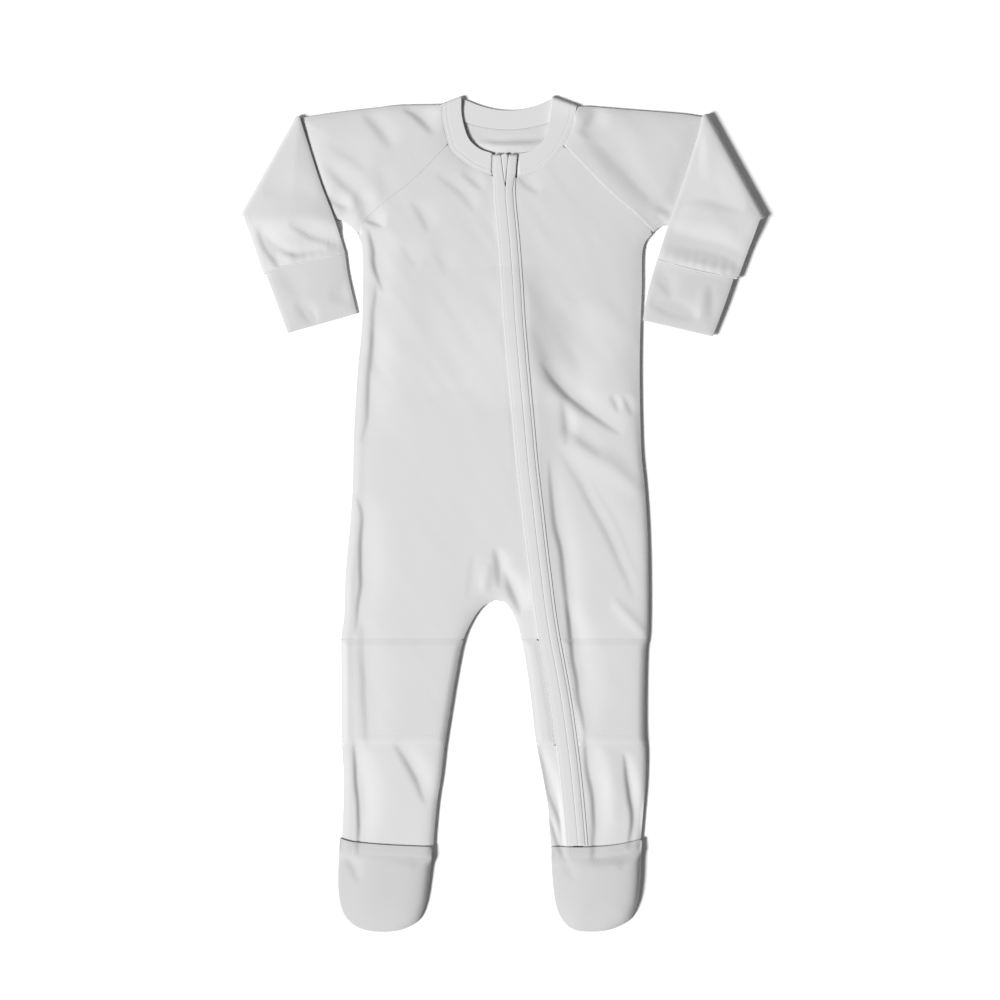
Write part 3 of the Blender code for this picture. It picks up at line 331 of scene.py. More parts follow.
FOREARM_FOLDS = {
    "left": (
        (7.0, 2.2, -2.4, ((-157, 211), (-137, 203), (-125, 199), (-109, 194))),
        (9.0, 3.5, -2.0, ((-180, 210), (-172, 194), (-162, 178))),
        (6.0, 2.5, -2.0, ((-168, 195), (-152, 190), (-142, 191), (-128, 194))),
        (8.0, 8.0, 0.9, ((-183, 217), (-155, 217), (-122, 213))),
        (12.0, 6.0, -0.7, ((-174, 232), (-155, 233), (-136, 230))),
        (2.0, 3.0, 0.3, ((-189, 222), (-181, 199), (-172, 176))),
    ),
    "right": (
        (14.0, 6.0, -1.8, ((125, 233), (154, 226), (176, 220))),
        (8.0, 8.0, 0.9, ((124, 214), (150, 211), (172, 206))),
        (10.0, 9.0, -2.4, ((112, 198), (140, 192), (161, 187), (177, 179))),
        (7.0, 1.8, -0.8, ((147, 288), (134, 238), (119, 201))),
        (12.0, 9.0, -0.6, ((150, 266), (146, 250), (143, 234))),
    ),
}
CUFF_FOLDS = {
    "left": (
        (10.0, 7.0, -0.7, ((-167, 180), (-156, 166), (-147, 156))),
        (6.0, 5.0, -1.1, ((-153, 154), (-145, 146), (-137, 139))),
        (8.0, 5.0, -0.7, ((-127, 161), (-120, 158), (-111, 157))),
    ),
    "right": (
        (8.0, 4.0, -1.0, ((108, 177), (116, 168), (124, 158))),
        (8.0, 3.5, -2.0, ((107, 154), (124, 147), (143, 142))),
        (5.0, 4.0, 0.6, ((147, 167), (146, 154), (145, 143))),
        (4.0, 3.0, -0.4, ((151, 168), (151, 156), (150, 142))),
    ),
}
FOOT_FOLDS = (
    (5.0, 3.0, -0.7, ((-116, -248), (-110, -258), (-104, -269))),
    (5.0, 3.0, -0.5, ((-65, -260), (-58, -254), (-51, -249))),
    (5.0, 3.0, -0.8, ((86, -259), (93, -253), (101, -248))),
    (5.0, 3.0, -0.4, ((41, -250), (46, -259), (52, -268))),
)
NECK_FOLDS = (  # inside the back, under the band
    (2.8, 4.2, 3.0, ((-20, 272), (8, 269), (39, 274))),
    (5.0, 4.0, 0.5, ((-14, 279), (8, 278), (30, 281))),
)

GRAIN = 1.3  # spacing of the finished cloth's points
EDGE_STEP = 2.0  # and of the points along its edges
ROLL = 0.6  # radius of a cloth's free edge
SEWN_ROLL = 0.1  # and of a sewn one
ROLL_ROWS = (0.03, 0.12, 0.42, 1.1)  # rows of points inside an edge, to round it
DRAPE = ((0.1025, 0.0204), (0.0713, -0.0293))  # turns and stretches soft wrinkles, 8 by 28

# Stage, in metres
KEY_FROM = (-0.65, -0.27, 0.71)  # direction of the main light
KEY_AWAY = 8.0
FLOOR_HALF = 4.0
FLOOR_DROP = 0.0002
FILM = 36.0  # width of the camera's film in millimetres
CAMERA_OVER = (-0.00146, 0.0109)
CAMERA_LIFT = 0.005


# ---- lines in the plane ----


def curve(points, step):
    """Points about a step apart on a smooth curve through the given ones."""
    p = np.array(points, float)
    if len(p) == 2:
        count = max(1, round(float(np.linalg.norm(p[1] - p[0])) / step))
        return p[0] + (p[1] - p[0]) * np.linspace(0, 1, count + 1)[:, None]
    ends = np.concatenate([[2 * p[0] - p[1]], p, [2 * p[-1] - p[-2]]])
    t = np.linspace(0, 1, 16, endpoint=False)[:, None]
    runs = []
    for a, b, c, d in zip(ends[:-3], ends[1:-2], ends[2:-1], ends[3:]):
        runs.append(
            0.5 * (2 * b + (c - a) * t + (2 * a - 5 * b + 4 * c - d) * t**2 + (3 * b - a - 3 * c + d) * t**3)
        )
    dense = np.concatenate([*runs, p[-1:]])
    along = lengths(dense)
    at = np.linspace(0, along[-1], max(1, round(along[-1] / step)) + 1)
    return np.stack([np.interp(at, along, dense[:, k]) for k in range(2)], axis=1)


def lengths(line):
    """How far along a line each of its points is."""
    return np.concatenate([[0], np.cumsum(np.linalg.norm(np.diff(line, axis=0), axis=1))])


def shares(points, at):
    """Points at the given shares of a curve's length."""
    line = curve(points, 1.0)
    along = lengths(line)
    return np.stack([np.interp(np.array(at) * along[-1], along, line[:, k]) for k in range(2)], axis=1)


def shifted(line, distance):
    """A line moved to its left by a distance."""
    line = np.array(line, float)
    run = np.gradient(line, axis=0)
    run /= np.linalg.norm(run, axis=1)[:, None]
    return line + distance * np.stack([-run[:, 1], run[:, 0]], axis=1)


def nearest(points, line, signed=False):
    """Each point's distance to a line, negative on its right if signed, and its place in segments."""
    points, line = np.atleast_2d(points), np.array(line, float)
    best, place = np.full(len(points), np.inf), np.zeros(len(points))
    side = np.ones(len(points))
    for i, (a, b) in enumerate(zip(line[:-1], line[1:])):
        run, off = b - a, points - a
        t = np.clip(off @ run / max(run @ run, 1e-9), 0, 1)
        away = np.hypot(off[:, 0] - t * run[0], off[:, 1] - t * run[1])
        closer = away < best
        place[closer] = (i + t)[closer]
        best[closer] = away[closer]
        if signed:
            side[closer] = np.sign(run[0] * off[:, 1] - run[1] * off[:, 0])[closer]
    return best * side, place


def within(points, outline):
    """Whether each point lies inside a closed outline."""
    x, y = points[:, 0], points[:, 1]
    inside = np.zeros(len(points), bool)
    for (ax, ay), (bx, by) in zip(outline, np.roll(outline, -1, axis=0)):
        crosses = (ay > y) != (by > y)
        at = ax + (y - ay) / np.where(by == ay, 1e-9, by - ay) * (bx - ax)
        inside ^= crosses & (x < at)
    return inside


def off_lines(points, lines):
    """Each point's distance to the nearest of some lines."""
    return np.min([nearest(points, line)[0] for line in lines], axis=0)


def closed(outline):
    """An outline with its first point once more at its end."""
    return np.concatenate([outline, outline[:1]])


def downwards(line):
    """A line from its upper end to its lower one."""
    return line if line[0, 1] > line[-1, 1] else line[::-1]


def fold_line(sleeve):
    """The two ends of the fold between a sleeve's upper arm and its forearm."""
    return sleeve["over"][-1], sleeve["under"][-1]


def ease(t):
    """From 0 to 1, slow at both ends."""
    t = np.clip(t, 0, 1)
    return t * t * (3 - 2 * t)


def rising(away, run):
    """From 0 on an edge to 1 far from it."""
    return 1 - np.exp(-away / run)


def bell(away, width):
    """1 on a line, and 0 far to either side."""
    return np.exp(-((away / width) ** 2))


def joined(*lines):
    """One closed outline from lines that follow each other, counter-clockwise, without doubled points."""
    points = np.concatenate(lines)
    keep = [i for i in range(len(points)) if np.linalg.norm(points[i] - points[i - 1]) > 0.05]
    points = points[keep]
    x, y = points[:, 0], points[:, 1]
    turned = float(np.sum(x * np.roll(y, -1) - y * np.roll(x, -1))) < 0
    return points[::-1] if turned else points


def zip_line(step, low=-246.0, high=263.0):
    """The zip's line between two values of y."""
    line = curve(ZIP, step)
    line = line[(line[:, 1] > low + step / 2) & (line[:, 1] < high - step / 2)]
    fine = curve(ZIP, 1.0)[::-1]
    ends = [(float(np.interp(y, fine[:, 1], fine[:, 0])), y) for y in (high, low)]
    return np.concatenate([ends[:1], line, ends[1:]])


# ---- heights ----


def noise(points, size, seed):
    """Smooth random heights from -1 to 1 that change over a given length."""
    table = np.random.default_rng(seed).uniform(-1, 1, (64, 64))
    angle = 0.6 + seed
    turn = np.array([[math.cos(angle), -math.sin(angle)], [math.sin(angle), math.cos(angle)]])
    p = points @ turn / size + 1000.0
    cell = np.floor(p).astype(int)
    share = ease(p - cell)
    x0, y0 = (cell % 64).T
    x1, y1 = (x0 + 1) % 64, (y0 + 1) % 64
    low = table[x0, y0] * (1 - share[:, 0]) + table[x1, y0] * share[:, 0]
    high = table[x0, y1] * (1 - share[:, 0]) + table[x1, y1] * share[:, 0]
    return low * (1 - share[:, 1]) + high * share[:, 1]


def folded(points, table):
    """What a table of folds adds to a height."""
    points = points + 0.8 * np.column_stack([noise(points, 16.0, 31), noise(points, 16.0, 32)])
    total = np.zeros(len(points))
    for left, right, height, corners in table:
        line = curve(corners, 3.0)
        reach = 3 * max(left, right)
        low, high = line.min(0) - reach, line.max(0) + reach
        close = ((points > low) & (points < high)).all(axis=1)
        if close.any():
            away, place = nearest(points[close], line, signed=True)
            fade = np.sin(np.pi * np.clip(place / (len(line) - 1), 0.0, 1.0)) ** 0.8
            slim = 0.55 + 0.45 * fade
            if height < 0:
                away = away - 0.7 * right * slim
            width = np.where(away > 0, left, right) * slim
            total[close] += height * fade * bell(away, width)
    return total


def creased(points, table, swell):
    """What a table of folds and a soft unevenness add to a height."""
    total = folded(points, table)
    for height, size, seed in swell:
        total += height * noise(points, size, seed)
    return total


def fold_depth():
    """How deep the folds are, as the user sets it."""
    return bpy.context.scene.sleepsuit_cloth.fold_depth


def puckers(points, line, reach, pitch, height, seed):
    """Small gathers that run out from a seam."""
    away, place = nearest(points, line)
    step = lengths(line)[-1] / (len(line) - 1)
    along = place * step
    wander = noise(np.column_stack([along, np.zeros(len(along))]), 2.5 * pitch, seed)
    wave = np.sin(2 * np.pi * along / pitch + 2.5 * wander) * (0.6 + 0.4 * wander)
    return height * wave * bell(away, reach)


def edge_table():
    """The edges that the front rises from: a line, the height and the run at its start and at its end, and
    the share of its length where the run begins to change."""
    slack, tight, even = SLACK_RUN, TIGHT_RUN, LOFT_RUN
    table = [
        (SIDE_LEFT, SIDE_TOP, SIDE_TOP, slack, slack, 0.0),
        (SIDE_RIGHT, EDGE_TOP, EDGE_TOP, slack, tight, 0.08),
        (CROTCH, EDGE_TOP, SIDE_TOP, tight, slack, 0.35),
    ]
    for side, sleeve in SLEEVES.items():
        table.append((sleeve["over"], FOLD_TOP, FOLD_TOP, even, even, 0.0))
        table.append((sleeve["under"], EDGE_TOP, FOLD_TOP, even, even, 0.0))
        table.append((fold_line(sleeve), FOLD_TOP, FOLD_TOP, even, even, 0.0))
        table.append((NECK_OUT[side], NECK_TOP, NECK_TOP, even, even, 0.0))
    return [(curve(line, 4.0), *ends) for line, *ends in table]


EDGES = edge_table()
SIDES = [line for line, *_ in EDGES[:3]]
ELBOWS = [np.array(fold_line(sleeve)) for sleeve in SLEEVES.values()]
TRIM_MIDDLE = zip_line(4.0) + np.array([-0.4, 0.0])
RAGLAN_SEAMS = [curve(RAGLAN[side, "front"], 3.0) for side in SLEEVES]
NECK_LINES = [curve(NECK_OUT[side], 4.0) for side in SLEEVES]
SHOULDERS = [(NECK_IN[side][0], NECK_OUT[side][0]) for side in SLEEVES]


def shoulder_rise(points):
    """How much higher the front's layer lies near the shoulders, where the neckband turns to the back."""
    return SHOULDER_RISE * bell(off_lines(points, SHOULDERS), SHOULDER_WIDTH)


def covered(points):
    """How far each point is from what a folded forearm covers, 0 under it."""
    best = np.full(len(points), np.inf)
    for sleeve in SLEEVES.values():
        patch = np.array([*fold_line(sleeve), *reversed(sleeve["inner"][1:])])
        away = nearest(points, sleeve["inner"])[0]
        best = np.minimum(best, np.where(within(points, patch), 0.0, away))
    return best


def front_top(points):
    """The upper face of the front and of the upper sleeves, with its folds."""
    points = np.atleast_2d(points)
    cover = covered(points)
    height = FOLD_TOP + (LOFT_TOP - FOLD_TOP) * rising(cover, LOFT_RUN)
    for line, low, high, first, last, change in EDGES:
        away, place = nearest(points, line)
        share = place / (len(line) - 1)
        edge = low + (high - low) * share
        run = first + (last - first) * ease((share - change) / RUN_CHANGE)
        height = np.minimum(height, edge + (LOFT_TOP - edge) * rising(away, run))
    lift = ease((height - EDGE_TOP) / FULL_LIFT) * ease(cover / COVER_FADE)
    lift *= ease(off_lines(points, ELBOWS) / ELBOW_FADE)
    calm = ease((nearest(points, TRIM_MIDDLE)[0] - TRIM_FLAT) / TRIM_FADE)
    off_neck = ease(off_lines(points, NECK_LINES) / NECK_FADE)
    wrinkles = WRINKLES[0] + WRINKLES[1] * ease((points[:, 1] - BODY_FROM) / BODY_FROM)
    soft = creased(points, FRONT_FOLDS, FRONT_SWELL)
    soft += wrinkles * noise(points @ np.array(DRAPE), 1.0, 5)
    soft = soft * (TRIM_SHARE + (1 - TRIM_SHARE) * calm) + folded(points, BODY_FORMS) * off_neck
    height = height + fold_depth() * soft * lift
    from_side = nearest(points, SIDES[0])[0]
    roll = SIDE_ROLL_TOP[0] + SIDE_ROLL_TOP[1] * noise(points, 40.0, 8)
    height += ease(cover / COVER_FADE) * roll * bell(from_side - SIDE_ROLL[0], SIDE_ROLL[1])
    for k, seam in enumerate(RAGLAN_SEAMS):
        height += lift * puckers(points, seam, *RAGLAN_PUCKERS, 11 + k)
    height = np.minimum(height + shoulder_rise(points), FOLD_TOP + 0.1 + 0.5 * cover)
    return REST_TOP + np.logaddexp(0.0, HEIGHT_SOFTNESS * (height - REST_TOP)) / HEIGHT_SOFTNESS


def above(offset):
    """A height function, the front's upper face moved by an offset."""
    return lambda points: front_top(points) + offset


def front_under(points):
    """The under face of the fronts, drawn down to the back along the left side and between the legs."""
    own, seam = front_top(points) - CLOTH, CLOTH + 0.1
    away = off_lines(points, (SIDES[0], SIDES[2]))
    return np.minimum(own, seam + (own - seam) * ease(away / 1.5))


def level(height):
    """A height function that is the same everywhere."""
    return lambda points: np.full(len(np.atleast_2d(points)), height)


def back_top(points):
    """The back's inner face, with the soft fold that shows through the neck."""
    return CLOTH + folded(points, NECK_FOLDS)


def beyond_hem(points, foot):
    """How far each point lies past a foot cover's hem, towards the toes."""
    hem = curve(foot["hem"], 2.0)
    return np.interp(points[:, 0], hem[:, 0], hem[:, 1]) - points[:, 1]


def cover_under(foot):
    """The under face of a foot cover: on the leg at the hem, then a low pocket of its own."""
    toe = curve(foot["toe"], 4.0)

    def height(points):
        points = np.atleast_2d(points)
        away = nearest(points, toe)[0]
        sides = toe[:, 0].min(), toe[:, 0].max()
        lofts = FOOT_LOFT["left" if foot is FEET["left"] else "right"]
        run, loft = (np.interp(points[:, 0], sides, ends) for ends in (FOOT_RISE, lofts))
        rise = loft * rising(away, run)
        lap = beyond_hem(points, foot)
        on_leg = 1 - ease((lap - FOOT_LAP - 1.0) / FOOT_RUN)
        own = CLOTH + SEAM + rise
        soft = creased(points, FOOT_FOLDS, FOOT_SWELL)
        free = ease(away / TOE_FADE) * ease((lap - HEM_DEPTH) / TOE_FADE)
        return on_leg * (front_top(points) + 0.1) + (1 - on_leg) * own + free * soft

    return height


def cover_over(foot):
    """The upper face of a foot cover, thicker at its hem and drawn in along the hem's stitching."""
    under = cover_under(foot)

    def height(points):
        points = np.atleast_2d(points)
        lap = beyond_hem(points, foot)
        hem = 1 - ease((lap - HEM_DEPTH + 1.0) / 2.0)
        dip = sum(bell(lap - row, 0.5) for row in HEM_STITCH)
        return under(points) + CLOTH + HEM * hem - 0.14 * dip

    return height


# ---- shells ----


def finished(name, points, faces, uv, coat, slot, nodes):
    """A piece of the garment from points in millimetres, with its cloth map, that stands for some nodes."""
    points = np.array(points, float)
    points[:, :2] += CENTRE
    mesh = bpy.data.meshes.new(name)
    mesh.from_pydata((points * MM).tolist(), [], [tuple(int(i) for i in face) for face in faces])
    layer = mesh.uv_layers.new(name="cloth")
    layer.data.foreach_set("uv", (np.array(uv, float) * MM).ravel())
    mesh.validate()
    mesh.materials.append(coat)
    mesh.shade_smooth()
    piece = bpy.data.objects.new(name, mesh)
    bpy.context.scene.collection.objects.link(piece)
    return declared(piece, slot, nodes)


def declared(piece, slot, nodes):
    """Put a piece on the garment's body, in place of the nodes that it finishes. The slot is not used."""
    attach(piece, "root")
    if nodes:
        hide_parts(*nodes)
    if piece.name in SHEETS:
        width, length, area, held, rests = SHEETS[piece.name]
        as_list(rests)
    return piece


def facing_out(points, faces, uv):
    """A closed mesh's faces and the corners of its cloth map, all reversed if the faces point inwards."""
    fans = np.array([(face[0], b, c) for face in faces for b, c in zip(face[1:-1], face[2:])])
    a, b, c = (points[fans[:, k]] for k in range(3))
    if float((a * np.cross(b, c)).sum()) > 0:
        return faces, uv
    turned, at = [], 0
    for face in faces:
        turned += uv[at : at + len(face)][::-1]
        at += len(face)
    return [face[::-1] for face in faces], turned


def quads(around, along):
    """Faces between rows of points, each with its four corners on the cloth map."""
    count = len(around[0]) - 1
    for i in range(len(along) - 1):
        for j in range(count):
            k = (j + 1) % count
            face = i * count + j, i * count + k, (i + 1) * count + k, (i + 1) * count + j
            corners = [(around[i][j], along[i]), (around[i][j + 1], along[i])]
            corners += [(around[i + 1][j + 1], along[i + 1]), (around[i + 1][j], along[i + 1])]
            yield face, corners


def cut(outline, spacing):
    """A cut piece's triangles in the plane, with rows of points along its edge."""
    edge = closed(outline)
    groups = [outline]
    for inset in ROLL_ROWS:
        row = shifted(edge, inset)[:-1]
        clear = (nearest(row, edge)[0] > 0.93 * inset) & within(row, outline)
        groups.append(row[clear])
    low, high = outline.min(0), outline.max(0)
    xs = np.arange(low[0], high[0], spacing)
    ys = np.arange(low[1], high[1], spacing * math.sqrt(0.75))
    x, y = np.meshgrid(xs, ys)
    x[1::2] += spacing / 2
    grid = np.column_stack([x.ravel(), y.ravel()])
    grid = grid[within(grid, outline)]
    groups.append(grid[nearest(grid, edge)[0] > ROLL_ROWS[-1] + 0.5 * spacing])
    flat = [Vector(p) for p in np.concatenate(groups).tolist()]
    points, _, faces, *_ = delaunay_2d_cdt(flat, [], [list(range(len(outline)))], 1, 0.001)
    plan = np.array([tuple(p) for p in points])
    triangles = np.array([tuple(face) for face in faces])
    a, b, c = (plan[triangles[:, k]] for k in range(3))
    left = (b - a)[:, 0] * (c - a)[:, 1] - (b - a)[:, 1] * (c - a)[:, 0] > 0
    triangles[~left] = triangles[~left][:, ::-1]
    return plan, triangles


def shell(name, outline, under, over, coat, slot, nodes, spacing=GRAIN, roll=ROLL):
    """A piece of cloth with a rounded edge: its two skins meet along the outline."""
    plan, triangles = cut(outline, spacing)
    away = nearest(plan, closed(outline))[0]
    rim = away < 0.01
    low, high = under(plan), over(plan)
    half = (high - low) / 2
    inside = np.clip(1 - away / roll, 0, 1)
    drop = np.minimum(half, roll) * (1 - np.sqrt(1 - inside**2))
    drop[rim] = half[rim]
    top = np.column_stack([plan, high - drop])
    place = np.cumsum(~rim) - 1 + len(plan)
    lower = np.where(rim, np.arange(len(plan)), place)
    bottom = np.column_stack([plan, low + drop])[~rim]
    faces = np.concatenate([triangles, lower[triangles][:, ::-1]])
    uv = np.concatenate([plan[triangles].reshape(-1, 2), plan[triangles][:, ::-1].reshape(-1, 2)])
    return finished(name, np.concatenate([top, bottom]), faces, uv, coat, slot, nodes)


def swept(name, sections, coat, slot, nodes):
    """A solid strip through sections that have the same number of points, with its cloth map along it."""
    rows, count = len(sections), len(sections[0])
    points = np.concatenate(sections)
    around = lengths(closed(sections[0]))
    along = lengths(np.array([section.mean(0) for section in sections]))
    faces, uv = [], []
    for face, corners in quads([around] * rows, along):
        faces.append(face)
        uv += corners
    for first, order in ((0, range(count - 1, -1, -1)), ((rows - 1) * count, range(count))):
        middle = len(points)
        points = np.concatenate([points, [points[first : first + count].mean(0)]])
        order = list(order)
        for j, k in zip(order, order[1:] + order[:1]):
            faces.append((middle, first + j, first + k))
            uv += [(0.0, 0.0), (0.0, 1.0), (1.0, 1.0)]
    return finished(name, points, *facing_out(points, faces, uv), coat, slot, nodes)


def rounded(width, thick, corners, steps):
    """Half of a strip's section: places across it and heights over its middle, with its corners' radii."""
    half = thick / 2
    arc = np.radians((15.0, 40.0, 65.0))
    first, last = (
        (radius * (1 - np.cos(arc)), half - radius * (1 - np.sin(arc))) for radius in corners
    )
    s = np.concatenate([
        [0.0], first[0], np.linspace(corners[0], width - corners[1], steps), width - last[0][::-1], [width],
    ])
    h = np.concatenate([[0.0], first[1], np.full(steps, half), last[1][::-1], [0.0]])
    return s, h


def upright(across, along):
    """The way up at each row of a strip."""
    up = np.cross(across, along)
    up /= np.linalg.norm(up, axis=1)[:, None]
    return -up if up[0, 2] < 0 else up


def band(name, inner, outer, thick, coat, slot, nodes, corners=(), crown=0.0, dips=(), steps=10):
    """A strip through rows that each have an inner and an outer edge point, with rounded edges."""
    inner, outer = np.array(inner), np.array(outer)
    along = np.gradient((inner + outer) / 2, axis=0)
    across = outer - inner
    sections = []
    for a, run, up in zip(inner, across, upright(across, along)):
        width = float(np.linalg.norm(run))
        s, h = rounded(width, thick, corners or (thick / 2, thick / 2), steps)
        rise = h + crown * np.clip(4 * s * (width - s) / width**2, 0, 1) ** 0.5 * (2 * h / thick)
        for place, depth in dips:
            rise = rise - depth * bell(width - s - place, 0.45)
        top = a + run / width * s[:, None] + up * rise[:, None]
        low = a + run / width * s[:, None] - up * h[:, None]
        sections.append(np.concatenate([top, low[-2:0:-1]]))
    return swept(name, sections, coat, slot, nodes)


def tubed(name, outside, inside, coat, slot, nodes):
    """An open tube: an outer loop and an inner loop for each row."""
    rows, count = len(outside), len(outside[0])
    half = rows * count
    points = np.concatenate([*outside, *inside])
    around = [lengths(closed(ring)) for ring in outside]
    along = lengths(np.array([ring.mean(0) for ring in outside]))
    faces, uv = [], []
    for face, corners in quads(around, along):
        faces += [face, tuple(corner + half for corner in face[::-1])]
        uv += corners + corners[::-1]
    end = (rows - 1) * count
    for j in range(count):
        k = (j + 1) % count
        faces += [(k, j, j + half, k + half), (end + j, end + k, end + k + half, end + j + half)]
        uv += [(0.0, 0.0), (1.0, 0.0), (1.0, 1.0), (0.0, 1.0)] * 2
    return finished(name, points, *facing_out(points, faces, uv), coat, slot, nodes)


# ---- sleeves ----

ARMHOLE_CORNER = 0.40  # where along a sleeve's first row the neckband ends and the raglan seam begins
COLUMNS = np.concatenate([
    [0.0, 0.012, 0.03], np.linspace(0.055, 0.385, 20), [0.395, ARMHOLE_CORNER, 0.405],
    np.linspace(0.42, 0.945, 32), [0.97, 0.988, 1.0],
])
ROW_STEP = 2.0
BEND_STEPS = 10
ROUND = (75.0, 50.0, 25.0, 0.0, -25.0, -50.0, -75.0)  # degrees round a tube's edge
PRESSED = 0.55  # below 1, a tube's edges are pressed flat rather than round
END_ROWS = (0.08, 0.3, 0.6)  # distances of the finer rows from a tube's end, where its two skins meet


def coons(first, last, over, under, at):
    """Rows of points between two end rows, whose ends follow an over and an under edge."""
    out = []
    v = COLUMNS[:, None]
    for u in at:
        ends = [shares(edge, [u])[0] for edge in (over, under)]
        row = (1 - u) * first + u * last
        out.append(row + (1 - v) * (ends[0] - row[0]) + v * (ends[1] - row[-1]))
    return out


def steps_along(length, first, last):
    """Shares of a tube's length where it has rows, finer at an open end."""
    at = list(np.linspace(0, 1, round(length / ROW_STEP) + 1))
    near = [distance / length for distance in END_ROWS]
    if first:
        at += near
    if last:
        at += [1 - share for share in near]
    return np.array(sorted(at))


def wall_at(distance, wall, radius):
    """How far the two skins lie inside the outer face, at a distance from an open end."""
    share = np.clip(1 - distance / radius, 0, 1)
    inset = wall / 2 * (1 - math.sqrt(1 - share**2)) if share < 1 else wall / 2
    return inset, wall - inset


def neck_points(table, part, fine=1):
    """The points where one edge of the neckband has its rows, from a shoulder."""
    return shares(table[part], np.linspace(0, 1, fine * NECK_ROWS[part] + 1))


def joins(side, layer):
    """The neckband's outer edge from a shoulder to the raglan seam."""
    if layer == "front":
        return neck_points(NECK_OUT, side)[: FRONT_JOIN + 1]
    rows = neck_points(NECK_OUT, "back")
    return (rows if side == "left" else rows[::-1])[: BACK_JOIN + 1]


def raglan(side, layer, at):
    """Points along a raglan seam, at shares of its length."""
    return shares((tuple(joins(side, layer)[-1]), *RAGLAN[side, layer]), at)


def armhole(side, layer):
    """A sleeve's first row: down the neckband, then along the raglan seam."""
    rows = joins(side, layer)
    on_neck = COLUMNS < ARMHOLE_CORNER
    neck_at = COLUMNS[on_neck] / ARMHOLE_CORNER * (len(rows) - 1)
    neck = np.stack([np.interp(neck_at, range(len(rows)), rows[:, k]) for k in range(2)], axis=1)
    seam_at = (COLUMNS[~on_neck] - ARMHOLE_CORNER) / (1 - ARMHOLE_CORNER)
    return np.concatenate([neck, raglan(side, layer, seam_at)])


def turn(tip, inward, first, second, wall):
    """Points round a tube's edge, from its first layer's height to its second's, a wall inside its face."""
    middle, half = (first + second) / 2, abs(first - second) / 2
    sign = math.copysign(1.0, first - second)
    radius = half - wall
    points = []
    for degrees in ROUND:
        a = math.radians(degrees)
        across, up = math.cos(a) ** PRESSED, math.copysign(abs(math.sin(a)) ** PRESSED, a)
        place = tip + inward * (half - radius * across)
        points.append((*place, middle + sign * radius * up))
    return points


def loop(first, second, first_z, second_z, wall):
    """One row of a flat tube: out along its first layer, round the underarm edge, back, and round the top."""
    sign = math.copysign(1.0, first_z[1] - second_z[1])
    keep = slice(3, -3)
    points = [(*p, z - sign * wall) for p, z in zip(first[keep], first_z[keep])]
    inward = (first[-4] - first[-1]) / np.linalg.norm(first[-4] - first[-1])
    points += turn(first[-1], inward, first_z[-1], second_z[-1], wall)
    points += [(*p, z + sign * wall) for p, z in zip(second[keep][::-1], second_z[keep][::-1])]
    inward = (first[3] - first[0]) / np.linalg.norm(first[3] - first[0])
    points += reversed(turn(first[0], inward, first_z[0], second_z[0], wall))
    return np.array(points)


def bent(points, outward, angle, side):
    """Points of a flat tube carried round the fold by an angle."""
    centre = SLEEVE_MID + SLEEVE_BEND[side]
    reach = centre - points[:, 2]
    place = points[:, :2] + outward * (reach * math.sin(angle))[:, None]
    return np.column_stack([place, centre - reach * math.cos(angle)])


def forearm_low(points, table, side):
    """The under face of a folded forearm: off the fold, on the upper arm, then down to where it hangs."""
    from_fold = nearest(points, fold_line(table))[0]
    bend, arm, hang = 2 * SLEEVE_BEND[side], FOLD_TOP + 0.15, SLEEVE_HANG[side]
    start, end = table["drop"]
    on_arm = bend + (arm - bend) * ease(from_fold / SLEEVE_SLOPE[side])
    return hang + (on_arm - hang) * ease((points[:, 1] - end) / (start - end))


def forearm_top(points, table, side):
    """The upper face of a folded forearm, thinner away from the fold and gathered into the cuff."""
    from_fold = nearest(points, fold_line(table))[0]
    from_side = off_lines(points, (table["inner"], table["outer"]))
    from_edge = np.minimum(from_side, from_fold)
    seam = curve(table["seam"], 3.0)
    from_seam = nearest(points, seam)[0]
    edge = FOLD_TOP - (FOLD_TOP - SLEEVE_EDGE) * ease(from_fold / EDGE_SLOPE)
    loft = FOLD_TOP + SLEEVE_LOFT
    rise = rising(from_edge, SLEEVE_RUN)
    height = edge + (loft - edge) * rise
    height = np.minimum(height, SLEEVE_END + (loft - SLEEVE_END) * rising(from_seam, END_RUN))
    soft = fold_depth() * creased(points, FOREARM_FOLDS[side], FOREARM_SWELL) * ease(from_edge / SIDE_FADE)
    soft += PUFF[side] * rise * bell(from_seam - PUFF_AT[0], PUFF_AT[1])
    gathers = puckers(points, seam, *GATHER_SIZE, GATHERS[side], 21)
    soft += gathers * ease(from_seam / 2.0 + 0.15) * ease(from_side / SIDE_FADE)
    return forearm_low(points, table, side) + np.maximum(height + soft, TUBE_TOP)


def mean_length(*lines):
    """The mean length of some lines."""
    return float(np.mean([lengths(curve(line, 1.0))[-1] for line in lines]))


